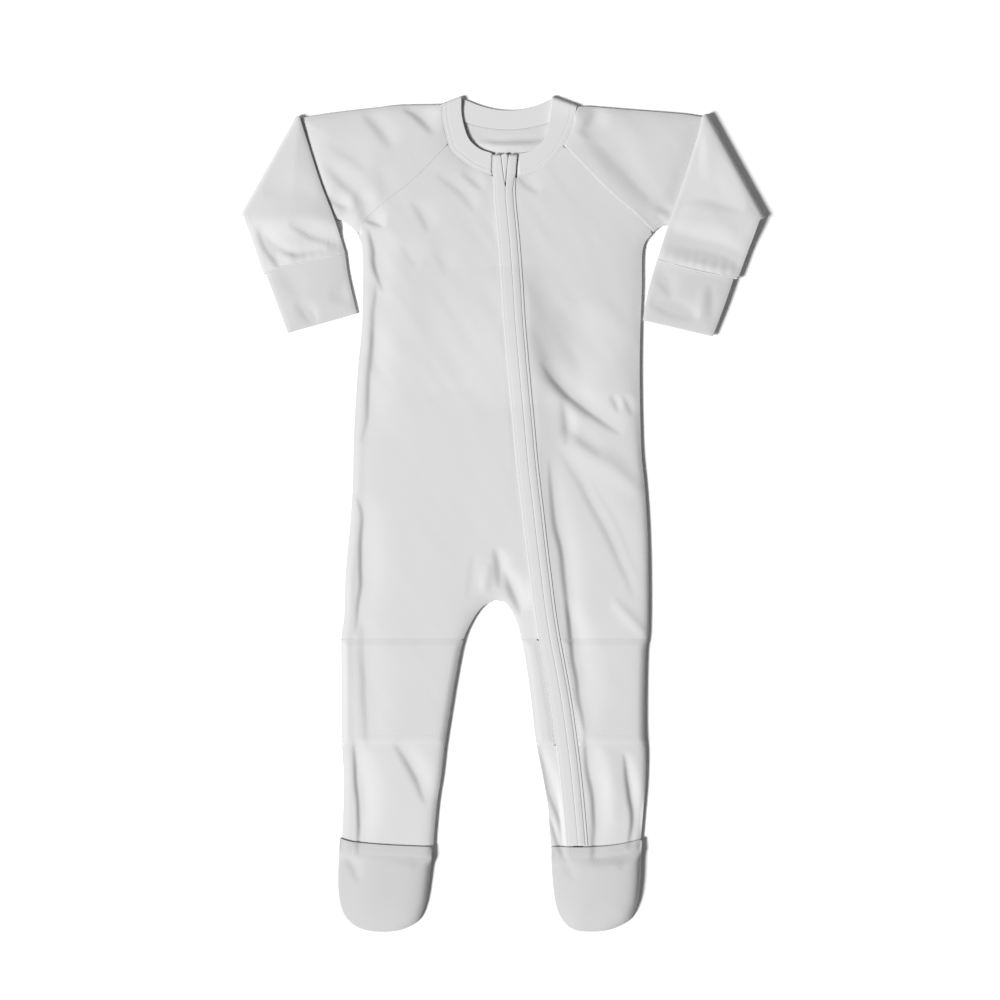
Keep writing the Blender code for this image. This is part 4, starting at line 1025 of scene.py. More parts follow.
def build_sleeve(side, coat):
    """A sleeve: a tube from the raglan seams to the cuff, folded over the front on the way."""
    table = SLEEVES[side]
    right = side == "right"
    apart = BUTT if right else -BUTT
    step = SLEEVE_STEP[side] * ease((COLUMNS - ARMHOLE_CORNER) / 0.08)
    front_row, back_row = (shifted(armhole(side, layer), apart) for layer in ("front", "back"))
    back_row[[0, -1]] = front_row[[0, -1]]
    fold = shares(fold_line(table), COLUMNS)
    reach = mean_length(table["over"], table["under"])
    at = steps_along(reach, True, False)
    upper = coons(front_row, fold, table["over"], table["under"], at)
    lower = coons(back_row, fold, table["over"], table["under"], at)
    skins = [], []
    for u, a, b in zip(at, upper, lower):
        walls = wall_at(u * reach, SLEEVE_WALL, ROLL if right else SEWN_ROLL)
        heights = front_top(a) + step * math.exp(-u * reach / STEP_RUN), np.zeros(len(b))
        for skin, wall in zip(skins, walls):
            skin.append(loop(a, b, *heights, wall))
    run = fold[-1] - fold[0]
    outward = np.array([-run[1], run[0]]) / np.linalg.norm(run) * (1 if right else -1)
    for skin in skins:
        flat = skin[-1]
        skin += [bent(flat, outward, math.pi * i / BEND_STEPS, side) for i in range(1, BEND_STEPS + 1)]
    seam = shares(table["seam"], COLUMNS)
    reach = mean_length(table["inner"], table["outer"])
    at = steps_along(reach, False, True)[1:]
    for u, plan in zip(at, coons(fold, seam, table["inner"], table["outer"], at)):
        walls = wall_at((1 - u) * reach, SLEEVE_WALL, SEWN_ROLL)
        heights = forearm_low(plan, table, side), forearm_top(plan, table, side)
        for skin, wall in zip(skins, walls):
            skin.append(loop(plan, plan, *heights, wall))
    return tubed(f"sleeve_cloth_{side}", *skins, coat, "jersey", (f"sleeve_{side}",))


def cuff_top(points, table, side):
    """The upper face of a cuff, with a low ridge along its seam."""
    from_side = off_lines(points, (table["cuff_inner"], table["cuff_outer"]))
    from_end = nearest(points, table["cuff_end"])[0]
    from_seam = nearest(points, table["seam"])[0]
    sides, end = (
        CUFF_EDGE + (CUFF_TOP - CUFF_EDGE) * rising(away, run)
        for away, run in zip((from_side, from_end), CUFF_RUN)
    )
    soft = creased(points, CUFF_FOLDS[side], CUFF_SWELL) * ease(from_side / SIDE_FADE)
    height = np.minimum(sides, end) + fold_depth() * soft * ease(from_seam / 3.0)
    high, place, width = CUFF_RIDGE
    ridge = high * ease(from_side / 3.0) * bell(from_seam - place, width)
    return np.maximum(height + ridge, TUBE_TOP)


def build_cuff(side, coat):
    """A cuff: an open tube of doubled rib, its end a fold."""
    table = SLEEVES[side]
    seam = shares(table["seam"], COLUMNS)
    seam[:, 1] -= BUTT
    end = shares(table["cuff_end"], COLUMNS)
    reach = mean_length(table["cuff_inner"], table["cuff_outer"])
    at = steps_along(reach, True, True)
    skins = [], []
    for u, plan in zip(at, coons(seam, end, table["cuff_inner"], table["cuff_outer"], at)):
        walls = wall_at(min(u, 1 - u) * reach, CUFF_WALL, SEWN_ROLL if u < 0.5 else ROLL)
        low = np.full(len(plan), SLEEVE_HANG[side] * (1 - 0.2 * u))
        heights = low, low + cuff_top(plan, table, side)
        for skin, wall in zip(skins, walls):
            skin.append(loop(plan, plan, *heights, wall))
    return tubed(f"cuff_rib_{side}", *skins, coat, "rib", (f"cuff_{side}",))


# ---- neckband ----


def neck_rows():
    """Rows of the neckband: its inner and outer edge points, from the left front round to the right."""
    edges = NECK_IN, NECK_OUT
    parts = {part: [neck_points(edge, part, NECK_FINE) for edge in edges] for part in NECK_ROWS}
    for part, tips in (("left", (0,)), ("right", (0,)), ("back", (0, -1))):
        for line in parts[part]:
            for tip, beside in zip(tips, (1, -2)):
                run = line[beside] - line[tip]
                line[tip] += min(SHOULDER, 0.8 * np.linalg.norm(run)) * run / np.linalg.norm(run)
    low, high = RIB / 2, RIB / 2 + 2 * NECK_BEND
    left, right, across = parts["left"], parts["right"], parts["back"]
    fronts = []
    for lines in (left, right):
        tops = [high + shoulder_rise(line) for line in lines]
        fronts.append([[(*line[i], top[i]) for line, top in zip(lines, tops)] for i in range(len(lines[0]))])
    rows = fronts[0][::-1]
    rows += shoulder(left, [line[0] for line in across], low)
    rows += [[(*line[i], low) for line in across] for i in range(len(across[0]))]
    rows += shoulder(right, [line[-1] for line in across], low)[::-1]
    rows += fronts[1]
    return rows


def shoulder(front, back_ends, low):
    """The band's rows round a shoulder, from its front layer down to its back layer."""
    ends = [(line[0], back) for line, back in zip(front, back_ends)]
    run = ends[0][0] - ends[1][0]
    outward = np.array([-run[1], run[0]]) / np.linalg.norm(run)
    outward *= math.copysign(1.0, outward[1])
    rows = []
    bends = [NECK_BEND + float(shoulder_rise(a)[0]) / 2 for a, _ in ends]
    for angle in np.linspace(0, math.pi, 12)[1:-1]:
        share = (1 - math.cos(angle)) / 2
        tips = [a + (b - a) * share + outward * bend * math.sin(angle) for (a, b), bend in zip(ends, bends)]
        rows.append([(*tip, low + bend * (1 + math.cos(angle))) for tip, bend in zip(tips, bends)])
    return rows


# ---- outlines of the cut pieces ----


def raglan_edge(side, layer):
    """A panel's edge along a raglan seam, from just clear of the neckband."""
    edge = raglan(side, layer, np.linspace(0, 1, 30))
    run = edge[1] - edge[0]
    edge[0] += 2 * BUTT * run / np.linalg.norm(run)
    return edge


def neck_edge(part, apart):
    """A panel's edge along the neckband, between its raglan seams or to the zip."""
    fine = 4
    edge = shifted(neck_points(NECK_OUT, part, fine), apart)
    if part == "back":
        return edge[BACK_JOIN * fine + 1 : -(BACK_JOIN * fine + 1)]
    return edge[FRONT_JOIN * fine + 1 :]


def beside_zip(offset, low, high):
    """A front's edge along the zip."""
    return zip_line(EDGE_STEP, low, high) + np.array([offset, 0.0])


def hem_row(foot, beyond, low=-500.0, high=500.0):
    """A row of points some way beyond a foot cover's hem, between two values of x."""
    row = curve(foot["hem"], EDGE_STEP) - np.array([0, beyond])
    return row[(row[:, 0] > low + 0.8) & (row[:, 0] < high - 0.8)]


def down_to(line, foot, beyond):
    """An edge of a leg from its upper end down to some way beyond a foot cover's hem."""
    fine = curve(downwards(np.array(line)), 0.5)
    past = beyond_hem(fine, foot) - beyond
    fine = fine[past < 0]
    return np.concatenate([fine[:-3:4], fine[-1:]])


def inner_legs(beyond):
    """The legs' inner edges, from the crotch down to some way beyond the foot covers' hems."""
    return down_to(INNER_LEFT, FEET["left"], beyond), down_to(INNER_RIGHT, FEET["right"], beyond)


def front_outline(side):
    """A front's outline: the left one has both legs' inner sides, the right one ends at the zip."""
    left, right = FEET["left"], FEET["right"]
    if side == "left":
        outer = down_to(SIDE_LEFT, left, FOOT_LAP)
        in_left, in_right = inner_legs(FOOT_LAP)
        edge = beside_zip(-PANEL_GAP, -247.5, 246.5)
        return joined(
            raglan_edge("left", "front")[::-1],
            neck_edge("left", -BUTT),
            edge,
            hem_row(right, FOOT_LAP, in_right[-1, 0], edge[-1, 0])[::-1],
            in_right[::-1],
            in_left[1:],
            hem_row(left, FOOT_LAP, outer[-1, 0], in_left[-1, 0])[::-1],
            outer[:0:-1],
        )
    outer = down_to(SIDE_RIGHT, right, FOOT_LAP)
    edge = beside_zip(PANEL_GAP, -247.5, 246.0)
    return joined(
        raglan_edge("right", "front"),
        outer[1:],
        hem_row(right, FOOT_LAP, edge[-1, 0], outer[-1, 0])[::-1],
        edge[::-1],
        neck_edge("right", BUTT)[::-1],
    )


def back_outline():
    """The back's outline, with both legs down to the feet."""
    left, right = FEET["left"], FEET["right"]
    side_left, side_right = down_to(SIDE_LEFT, left, -SEAM), down_to(SIDE_RIGHT, right, -SEAM)
    in_left, in_right = inner_legs(-SEAM)
    return joined(
        neck_edge("back", -BUTT)[::-1],
        raglan_edge("left", "back"),
        side_left[1:],
        hem_row(left, -SEAM, side_left[-1, 0], in_left[-1, 0]),
        in_left[::-1],
        in_right[1:],
        hem_row(right, -SEAM, in_right[-1, 0], side_right[-1, 0]),
        side_right[:0:-1],
        raglan_edge("right", "back")[::-1],
    )


def foot_outline(foot):
    """A foot's outline: its hem and round the toes."""
    return joined(hem_row(foot, 0.0), curve(foot["toe"], EDGE_STEP))


def knee_edges(part):
    """A knee patch's left and right edges, between its top and its end."""
    lines, offsets = {
        "knee_left": ((SIDE_LEFT, INNER_LEFT), (0.0, 0.0)),
        "knee_right_inner": ((INNER_RIGHT, ZIP), (0.0, LEFT_FLAP[0] - SEAM)),
        "knee_right_outer": ((ZIP, SIDE_RIGHT), (PIPING[1] + SEAM, 0.0)),
    }[part]
    y = np.linspace(KNEE_TOP, KNEE_END, 40)
    edges = []
    for line, offset in zip(lines, offsets):
        upwards = downwards(curve(line, 0.5))[::-1]
        edges.append(np.column_stack([np.interp(y, upwards[:, 1], upwards[:, 0]) + offset, y]))
    return edges


def knee_outline(part):
    """A knee patch's outline."""
    left, right = knee_edges(part)
    top, end = (curve((left[k], right[k]), EDGE_STEP) for k in (0, -1))
    return joined(left, end[1:], right[-2::-1], top[-2:0:-1])


def knee_over(outline):
    """A knee patch's upper face, thin at its edges."""

    def height(points):
        full = ease(nearest(points, closed(outline))[0] / KNEE_EDGE)
        return front_top(points) + 0.1 + PATCH * full

    return height


# ---- shader maths ----


class Socket:
    """A value in a material that sums can be written with."""

    def __init__(self, graph, node, output=0):
        self.graph, self.node, self.out = graph, node, node.outputs[output]

    def of(self, output):
        return Socket(self.graph, self.node, output)

    def maths(self, operation, *values):
        return self.graph.node("ShaderNodeMath", {"operation": operation}, dict(enumerate(values)))

    def __add__(self, other):
        return self.maths("ADD", self, other)

    __radd__ = __add__

    def __mul__(self, other):
        return self.maths("MULTIPLY", self, other)

    __rmul__ = __mul__

    def __sub__(self, other):
        return self.maths("SUBTRACT", self, other)

    def __rsub__(self, other):
        return self.maths("SUBTRACT", other, self)

    def __truediv__(self, other):
        return self.maths("DIVIDE", self, other)

    def __pow__(self, other):
        return self.maths("POWER", self, other)

    def wave(self):
        """A full wave from 0 to 1 for each whole step of the value."""
        return 0.5 - 0.5 * self.maths("COSINE", self * math.tau)

    def part(self):
        return self.maths("FRACT", self)

    def size(self):
        return self.maths("ABSOLUTE", self)


class Graph:
    """A material's nodes, with its finish as the last one."""

    def __init__(self, name):
        self.material = bpy.data.materials.new(name)
        self.material.use_nodes = True
        self.nodes = self.material.node_tree.nodes
        self.finish = self.nodes["Principled BSDF"]

    def node(self, kind, settings=None, values=None):
        """Any node, from its type, its settings, and the values or links of its sockets."""
        made = self.nodes.new(kind)
        for name, setting in (settings or {}).items():
            setattr(made, name, setting)
        for name, value in (values or {}).items():
            self.give(made.inputs[name], value)
        return Socket(self, made)

    def give(self, socket, value):
        if isinstance(value, Socket):
            self.material.node_tree.links.new(value.out, socket)
        else:
            socket.default_value = value

    def set(self, **values):
        for name, value in values.items():
            self.give(self.finish.inputs[name.replace("_", " ")], value)

    def cloth_map(self):
        split = self.node("ShaderNodeSeparateXYZ", {}, {0: self.node("ShaderNodeUVMap", {"uv_map": "cloth"})})
        return split.of("X"), split.of("Y")

    def speck(self, size, detail=2.0):
        """Soft random mottling from 0 to 1, of a size in metres."""
        place = self.node("ShaderNodeTexCoord").of("Object")
        values = {"Vector": place, "Scale": 1.0 / size, "Detail": detail}
        return self.node("ShaderNodeTexNoise", {"noise_dimensions": "3D"}, values)

    def shade(self, colour, amount, mask):
        """A colour that darkens by an amount where a mask is 0."""
        dark = [c * (1 - amount) for c in colour]
        values = {0: mask, 6: (*dark, 1.0), 7: (*colour, 1.0)}
        return self.node("ShaderNodeMix", {"data_type": "RGBA"}, values).of(2)

    def bump(self, height, distance, strength):
        values = {"Height": height, "Distance": distance, "Strength": strength}
        return self.node("ShaderNodeBump", {}, values)


def knit_height(graph, wale, course):
    """The loops of a plain knit: columns of slanting legs, from the width and the height of a stitch."""
    x, y = graph.cloth_map()
    column = (x / wale).part() - 0.5
    leg = column.size() * 2.0
    slant = (y / course + leg * 0.55).wave()
    across = leg.wave()
    return across * (0.45 + 0.55 * slant)


def rib_height(graph, rib, course):
    """Ribs that run along the band, with their small loops."""
    x, y = graph.cloth_map()
    return (x / rib).wave() ** 0.6 * 0.8 + (y / course + (x / rib).part().size() * 0.5).wave() * 0.2


def knee_height(graph, pitch):
    """The fine dotted rows of the knee patches."""
    x, y = graph.cloth_map()
    rows, dots = (y / pitch).wave(), (x / (0.9 * pitch)).wave()
    return rows * 0.15 + rows * dots * 0.45 + graph.speck(2.0 * pitch) * 0.6


def grid_height(graph, pitch):
    """A plain weave of small squares."""
    x, y = graph.cloth_map()
    return (x / pitch).wave() * 0.5 + (y / (0.8 * pitch)).wave() ** 0.7 * 0.5


def cloth_material(name, colour, height, distance, strength=0.5, mottle_and_knit_shade=0.03, rough=0.86, sheen=0.25):
    """A matte cloth from its colour and a function of a graph that gives its knit."""
    graph = Graph(name)
    knit = height(graph)
    soft = graph.speck(0.035) * 0.6 + graph.speck(0.004) * 0.4
    # The base colour darkens at random, which is real mottling, and where the knit is low, which is painted
    # shade in the hollows between the loops
    mask = soft * 0.55 + knit * 0.45
    graph.set(
        Base_Color=graph.shade(colour, mottle_and_knit_shade, mask),
        Roughness=rough + (graph.speck(0.02) - 0.5) * 0.1,
        Normal=graph.bump(knit + graph.speck(0.0009) * 0.35, distance, strength),
        Sheen_Weight=sheen,
        Sheen_Roughness=0.45,
        Specular_IOR_Level=0.25,
    )
    return graph.material


def made_materials(scene):
    """All the garment's materials, made once."""
    cloth = scene.sleepsuit_cloth
    wale = cloth.stitch_width

    def knit(graph):
        return knit_height(graph, wale, 0.75 * wale)

    def ribs(graph):
        return rib_height(graph, 1.3 * wale, 0.8 * wale)

    # Name, knit and its depth, then strength, mottling with painted shade in the knit's hollows, roughness
    # and sheen where they differ
    kinds = {
        "jersey": ("jersey knit", knit, 0.00007),
        "rib": ("fine rib", ribs, 0.00006),
        "cuff": ("cuff rib", ribs, 0.00007),
        "trim": ("folded jersey", knit, 0.00006),
        # The feet's material is darker: partly the covers' own tone, partly painted shade for the light
        # falling off towards the feet
        "foot": ("foot jersey", knit, 0.00007),
        "knee": ("knee texture", lambda graph: knee_height(graph, 0.0018), 0.00011, 0.5, 0.04),
        "tape": ("zip tape", lambda graph: grid_height(graph, 0.0007), 0.00012, 0.5, 0.12, 0.7, 0.1),
        "thread": ("sewing thread", lambda graph: grid_height(graph, 0.0004), 0.00005, 0.4, 0.05, 0.6, 0.3),
    }
    if not bpy.data.materials.get("jersey knit"):
        for key, (name, *finish) in kinds.items():
            cloth_material(name, tuple(getattr(cloth, f"{key}_colour")), *finish)
        coil = Graph("zip coil")
        colour = coil.shade(tuple(cloth.tape_colour), 0.08, coil.speck(0.003))
        coil.set(Base_Color=colour, Roughness=0.38 + coil.speck(0.001) * 0.1)
    names = {key: name for key, (name, *_) in kinds.items()}
    names["coil"] = "zip coil"
    return {key: bpy.data.materials[name] for key, name in names.items()}


# ---- repeats along a line ----


class Tree:
    """A geometry tree with named inputs."""

    def __init__(self, name, inputs):
        self.tree = bpy.data.node_groups.new(name, "GeometryNodeTree")
        self.tree.interface.new_socket("Geometry", in_out="OUTPUT", socket_type="NodeSocketGeometry")
        self.tree.interface.new_socket("Line", in_out="INPUT", socket_type="NodeSocketGeometry")
        for title, kind, value in inputs:
            made = self.tree.interface.new_socket(title, in_out="INPUT", socket_type=f"NodeSocket{kind}")
            if value is not None:
                made.default_value = value
        self.start = self.tree.nodes.new("NodeGroupInput")
        self.end = self.tree.nodes.new("NodeGroupOutput")

    def node(self, kind, settings=None, values=None):
        made = self.tree.nodes.new(kind)
        for name, setting in (settings or {}).items():
            setattr(made, name, setting)
        for name, value in (values or {}).items():
            if isinstance(value, bpy.types.NodeSocket):
                self.tree.links.new(value, made.inputs[name])
            else:
                made.inputs[name].default_value = value
        return made

    def maths(self, operation, *values):
        return self.node("ShaderNodeMath", {"operation": operation}, dict(enumerate(values))).outputs[0]


def repeat_tree(name, unit):
    """Copies of a unit at an even pitch along a line, turned along it, swung to and fro, and joined."""
    inputs = (
        ("Pitch", "Float", 0.0026), ("Length", "Float", 0.0021), ("Width", "Float", 0.0004),
        ("Height", "Float", 0.0004), ("Swing", "Float", 0.0), ("Play", "Float", 0.08), ("Seed", "Int", 1),
        ("Finish", "Material", None),
    )
    t = Tree(name, inputs)
    given = t.start.outputs
    line = t.node("GeometryNodeMeshToCurve", {}, {"Mesh": given["Line"]})
    even = t.node(
        "GeometryNodeResampleCurve", {"mode": "LENGTH"}, {"Curve": line.outputs[0], "Length": given["Pitch"]}
    )
    tangent = t.node("GeometryNodeInputTangent")
    along = t.node("FunctionNodeAlignRotationToVector", {"axis": "X"}, {"Vector": tangent.outputs[0]})
    index = t.node("GeometryNodeInputIndex")
    odd = t.maths("MODULO", index.outputs[0], 2.0)
    swing = t.maths("MULTIPLY", t.maths("SUBTRACT", t.maths("MULTIPLY", odd, 2.0), 1.0), given["Swing"])
    play = t.node("FunctionNodeRandomValue", {"data_type": "FLOAT"}, {"Seed": given["Seed"]})
    less, more = t.maths("SUBTRACT", 0.0, given["Play"]), given["Play"]
    t.tree.links.new(less, play.inputs[2])
    t.tree.links.new(more, play.inputs[3])
    jitter = play.outputs[1]
    turn_by = t.node(
        "FunctionNodeAxisAngleToRotation",
        {},
        {"Axis": (0.0, 0.0, 1.0), "Angle": t.maths("ADD", swing, jitter)},
    )
    turned = t.node(
        "FunctionNodeRotateRotation",
        {"rotation_space": "LOCAL"},
        {"Rotation": along.outputs[0], "Rotate By": turn_by.outputs[0]},
    )
    size = t.node(
        "ShaderNodeCombineXYZ", {}, {0: given["Length"], 1: given["Width"], 2: given["Height"]}
    )
    one = unit(t)
    placed = t.node(
        "GeometryNodeInstanceOnPoints",
        {},
        {
            "Points": even.outputs[0],
            "Instance": one,
            "Rotation": turned.outputs[0],
            "Scale": size.outputs[0],
        },
    )
    real = t.node("GeometryNodeRealizeInstances", {}, {"Geometry": placed.outputs[0]})
    smooth = t.node("GeometryNodeSetShadeSmooth", {}, {"Geometry": real.outputs[0]})
    painted = t.node(
        "GeometryNodeSetMaterial", {}, {"Geometry": smooth.outputs[0], "Material": given["Finish"]}
    )
    t.tree.links.new(painted.outputs[0], t.end.inputs[0])
    return t.tree


def stitch_unit(t):
    """One stitch of unit size: a small round bead that the tree stretches."""
    bead = t.node("GeometryNodeMeshUVSphere", {}, {"Segments": 8, "Rings": 5, "Radius": 0.5})
    return bead.outputs["Mesh"]


def coil_unit(t):
    """One turn of the zip's coil, across the line."""
    ring = t.node("GeometryNodeCurvePrimitiveCircle", {}, {"Resolution": 12, "Radius": 0.5})
    standing = t.node(
        "GeometryNodeTransform", {}, {"Geometry": ring.outputs[0], "Rotation": (0.0, math.pi / 2, 0.0)}
    )
    wire = t.node("GeometryNodeCurvePrimitiveCircle", {}, {"Resolution": 5, "Radius": 0.09})
    tube = t.node(
        "GeometryNodeCurveToMesh", {}, {"Curve": standing.outputs[0], "Profile Curve": wire.outputs[0]}
    )
    return tube.outputs[0]


def repeated(name, lines, tree, finish, slot, **values):
    """A piece that a tree makes along some lines, as a plain mesh."""
    points, edges = [], []
    for line in lines:
        edges += [(len(points) + i, len(points) + i + 1) for i in range(len(line) - 1)]
        points += [((x + CENTRE[0]) * MM, (y + CENTRE[1]) * MM, z * MM) for x, y, z in line]
    mesh = bpy.data.meshes.new(name)
    mesh.from_pydata(points, edges, [])
    source = bpy.data.objects.new(name + " line", mesh)
    bpy.context.scene.collection.objects.link(source)
    modifier = source.modifiers.new("repeat", "NODES")
    modifier.node_group = tree
    sockets = {s.name: s.identifier for s in tree.interface.items_tree if s.in_out == "INPUT"}
    modifier[sockets["Finish"]] = finish
    for title, value in values.items():
        modifier[sockets[title]] = value
    ready = source.evaluated_get(bpy.context.evaluated_depsgraph_get())
    made = bpy.data.meshes.new_from_object(ready)
    made.name = name
    source.modifiers.remove(modifier)
    bpy.data.objects.remove(source, do_unlink=True)
    bpy.data.meshes.remove(mesh)
    if not made.materials:
        made.materials.append(finish)
    if not len(made.polygons):
        raise RuntimeError(f"{name}: the tree made no faces")
    piece = bpy.data.objects.new(name, made)
    bpy.context.scene.collection.objects.link(piece)
    return declared(piece, slot, ())


def laid_on(line, height, lift):
    """A line in the plane, on a height function and lifted a little."""
    line = np.array(line)
    return np.column_stack([line, height(line) + lift])


# ---- settings ----


class ClothSettings(bpy.types.PropertyGroup):
    """Colours of the cloths, and how they lie."""

    fold_depth: FloatProperty(name="Fold depth", description="How deep the folds are", default=1.0, min=0.0)
    stitch_width: FloatProperty(
        name="Stitch width", description="Width of one loop of the knit", default=0.00085, unit="LENGTH"
    )
    jersey_colour: FloatVectorProperty(
        name="Jersey", description="Colour of the jersey", default=(0.57, 0.57, 0.57), subtype="COLOR"
    )
    rib_colour: FloatVectorProperty(
        name="Neckband",
        description="Colour of the neckband's rib",
        default=(0.595, 0.595, 0.595),
        subtype="COLOR",
    )
    cuff_colour: FloatVectorProperty(
        name="Cuffs", description="Colour of the cuffs' rib", default=(0.53, 0.53, 0.53), subtype="COLOR"
    )
    trim_colour: FloatVectorProperty(
        name="Trims",
        description="Colour of the plackets and piping",
        default=(0.58, 0.58, 0.58),
        subtype="COLOR",
    )
    knee_colour: FloatVectorProperty(
        name="Knees", description="Colour of the knee patches", default=(0.56, 0.56, 0.56), subtype="COLOR"
    )
    # Darker than the jersey: partly the covers' own tone, partly painted shade for the light falling off
    # towards the feet
    foot_colour: FloatVectorProperty(
        name="Feet", description="Colour of the feet's covers", default=(0.48, 0.48, 0.48), subtype="COLOR"
    )
    tape_colour: FloatVectorProperty(
        name="Zip",
        description="Colour of the zip's tape and coil",
        default=(0.48, 0.48, 0.48),
        subtype="COLOR",
    )
    thread_colour: FloatVectorProperty(
        name="Thread", description="Colour of the sewing thread", default=(0.61, 0.61, 0.61), subtype="COLOR"
    )


class StitchSettings(bpy.types.PropertyGroup):
    """Sizes of the sewing and of the zip's coil."""

    pitch: FloatProperty(
        name="Pitch", description="From one stitch to the next", default=0.0027, unit="LENGTH"
    )
    length: FloatProperty(name="Length", description="Length of a stitch", default=0.0021, unit="LENGTH")
    thread: FloatProperty(
        name="Thread", description="Thickness of the thread", default=0.00034, unit="LENGTH"
    )
    coil_pitch: FloatProperty(
        name="Coil pitch", description="From one turn of the coil to the next", default=0.0013, unit="LENGTH"
    )
    seed: IntProperty(name="Seed", description="Changes how the stitches vary", default=7)


class StageSettings(bpy.types.PropertyGroup):
    """Light and camera."""

    lens: FloatProperty(name="Lens", description="Focal length in millimetres", default=85.0)
    across: FloatProperty(name="View", description="Width of the view", default=0.730, unit="LENGTH")
    key: FloatProperty(
        name="Key", description="Power of the main light in watts", default=995.0, unit="POWER"
    )
    softbox: FloatProperty(name="Softbox", description="Width of the main light", default=2.5, unit="LENGTH")
    fill: FloatProperty(name="Fill", description="Brightness of the surroundings", default=0.16)
    floor_colour: FloatVectorProperty(
        name="Floor", description="Colour of the floor", default=(0.95, 0.95, 0.95), subtype="COLOR"
    )


# ---- operators ----


class BuildBack(bpy.types.Operator):
    """Build the back with both legs and the backs of the feet"""

    bl_idname = "sleepsuit.back"
    bl_label = "Back"

    def execute(self, context):
        coat = made_materials(context.scene)["jersey"]
        shell("back_cloth", back_outline(), level(0.0), back_top, coat, "jersey", ("back",), 2.2)
        for side, foot in FEET.items():
            outline, node = foot_outline(foot), f"foot_{side}_back"
            shell(f"foot_{side}_sole", outline, level(0.0), level(CLOTH), coat, "jersey", (node,), 3.4)
        return {"FINISHED"}


class BuildFronts(bpy.types.Operator):
    """Build the two fronts with their folds"""

    bl_idname = "sleepsuit.fronts"
    bl_label = "Fronts"

    def execute(self, context):
        coat = made_materials(context.scene)["jersey"]
        for side in SLEEVES:
            name, nodes = f"front_cloth_{side}", (f"front_{side}",)
            outline = front_outline(side)
            shell(name, outline, front_under, front_top, coat, "jersey", nodes, GRAIN, SEWN_ROLL)
        return {"FINISHED"}


class BuildSleeves(bpy.types.Operator):
    """Build the sleeves, folded in over the front, and their cuffs"""

    bl_idname = "sleepsuit.sleeves"
    bl_label = "Sleeves and cuffs"

    def execute(self, context):
        coats = made_materials(context.scene)
        for side in SLEEVES:
            build_sleeve(side, coats["jersey"])
            build_cuff(side, coats["cuff"])
        return {"FINISHED"}


class BuildNeckband(bpy.types.Operator):
    """Build the ribbed neckband"""

    bl_idname = "sleepsuit.neckband"
    bl_label = "Neckband"

    def execute(self, context):
        inner, outer = zip(*neck_rows())
        dips = [(place, 0.12) for place in TWIN_STITCH]
        coat = made_materials(context.scene)["rib"]
        band("neckband_rib", inner, outer, RIB, coat, "rib", ("neckband",), (0.25, SEWN_ROLL), 0.0, dips, 34)
        return {"FINISHED"}


def trim_rows(flap, low, high, lift):
    """Inner and outer edge rows of a strip beside the zip line, at a height above the front."""
    line = zip_line(EDGE_STEP, low, high)
    sway = 0.25 * noise(np.column_stack([line[:, 1], np.zeros(len(line))]), 38.0, 12)
    middle = front_top(line + np.array([sum(flap) / 2, 0.0])) + lift
    rows = []
    for edge in flap:
        rows.append(np.column_stack([line[:, 0] + edge + sway, line[:, 1], middle]))
    return rows


def placket_rows(side):
    """A placket's west and east edge rows, shaped beside the tab and the neckband at the top."""
    flap, tops = (LEFT_FLAP, LEFT_TOP) if side == "left" else (RIGHT_FLAP, RIGHT_TOP)
    rows = trim_rows(flap, TRIM_END, 263.0, 0.05 + TRIM / 2)
    y, *edges = np.array(tops)[::-1].T
    top = rows[0][:, 1] > y[0]
    for row, edge in zip(rows, edges):
        row[top, 0] = np.interp(row[top, 1], y, edge)
    sewn = rows[0] if side == "left" else rows[1]
    sewn[:, 2] -= SEWN_DROP
    return rows


class BuildTrims(bpy.types.Operator):
    """Build the plackets, the piping and the tab at the zip's top"""

    bl_idname = "sleepsuit.trims"
    bl_label = "Plackets and piping"

    def execute(self, context):
        coat = made_materials(context.scene)["trim"]
        edges = 0.33, 0.2  # radii of the left placket's folded and sewn edge
        cloth = TRIM, coat, "trim"
        west, east = placket_rows("left")
        dips = ((1.3, 0.12),)
        band("placket_fold_left", east, west, *cloth, ("placket_left",), edges, 0.12, dips, 14)
        west, east = placket_rows("right")
        band("placket_fold_right", west, east, *cloth, ("placket_right",), edges[::-1], 0.3, (), 12)
        west, east = trim_rows(PIPING, TRIM_END, 247.0, 0.02 + PIPING_HEIGHT / 2)
        band("piping_cord", west, east, PIPING_HEIGHT, coat, "trim", ("zip_piping",), (), 0.0, (), 4)
        outline = joined(curve([*GUARD, GUARD[0]], 1.0))
        shell("zip_tab", outline, above(-0.9), above(0.45), coat, "trim", ("zip_guard",), 0.9)
        return {"FINISHED"}


class BuildZip(bpy.types.Operator):
    """Build the zip's tape and its coil"""

    bl_idname = "sleepsuit.zip"
    bl_label = "Zip"

    def execute(self, context):
        coats = made_materials(context.scene)
        sewing = context.scene.sleepsuit_stitching
        rows = trim_rows((-TAPE_HALF, TAPE_HALF), -246.0, 240.5, -TAPE_TOP - TAPE / 2)
        tape = band("zip_tape", *rows, TAPE, coats["tape"], "zip", ("zip_chain",), steps=14)
        middle = trim_rows((0.0, 0.0), -245.0, 240.0, -TAPE_TOP + 0.62)[0]
        tree = repeat_tree("zip coil turns", coil_unit)
        repeated(
            "zip_coil", [middle], tree, coats["coil"], "zip",
            Pitch=sewing.coil_pitch, Length=0.0016, Width=2 * COIL_HALF * MM, Height=0.0014, Play=0.0,
        )
        if not tape.data.polygons:
            raise RuntimeError("the zip has no tape")
        return {"FINISHED"}


class BuildKnees(bpy.types.Operator):
    """Build the knee patches"""

    bl_idname = "sleepsuit.knees"
    bl_label = "Knee patches"

    def execute(self, context):
        coat = made_materials(context.scene)["knee"]
        for part in KNEES:
            outline = knee_outline(part)
            over = knee_over(outline)
            shell(f"{part}_patch", outline, above(0.02), over, coat, "knee", (part,), GRAIN, 0.2)
        return {"FINISHED"}


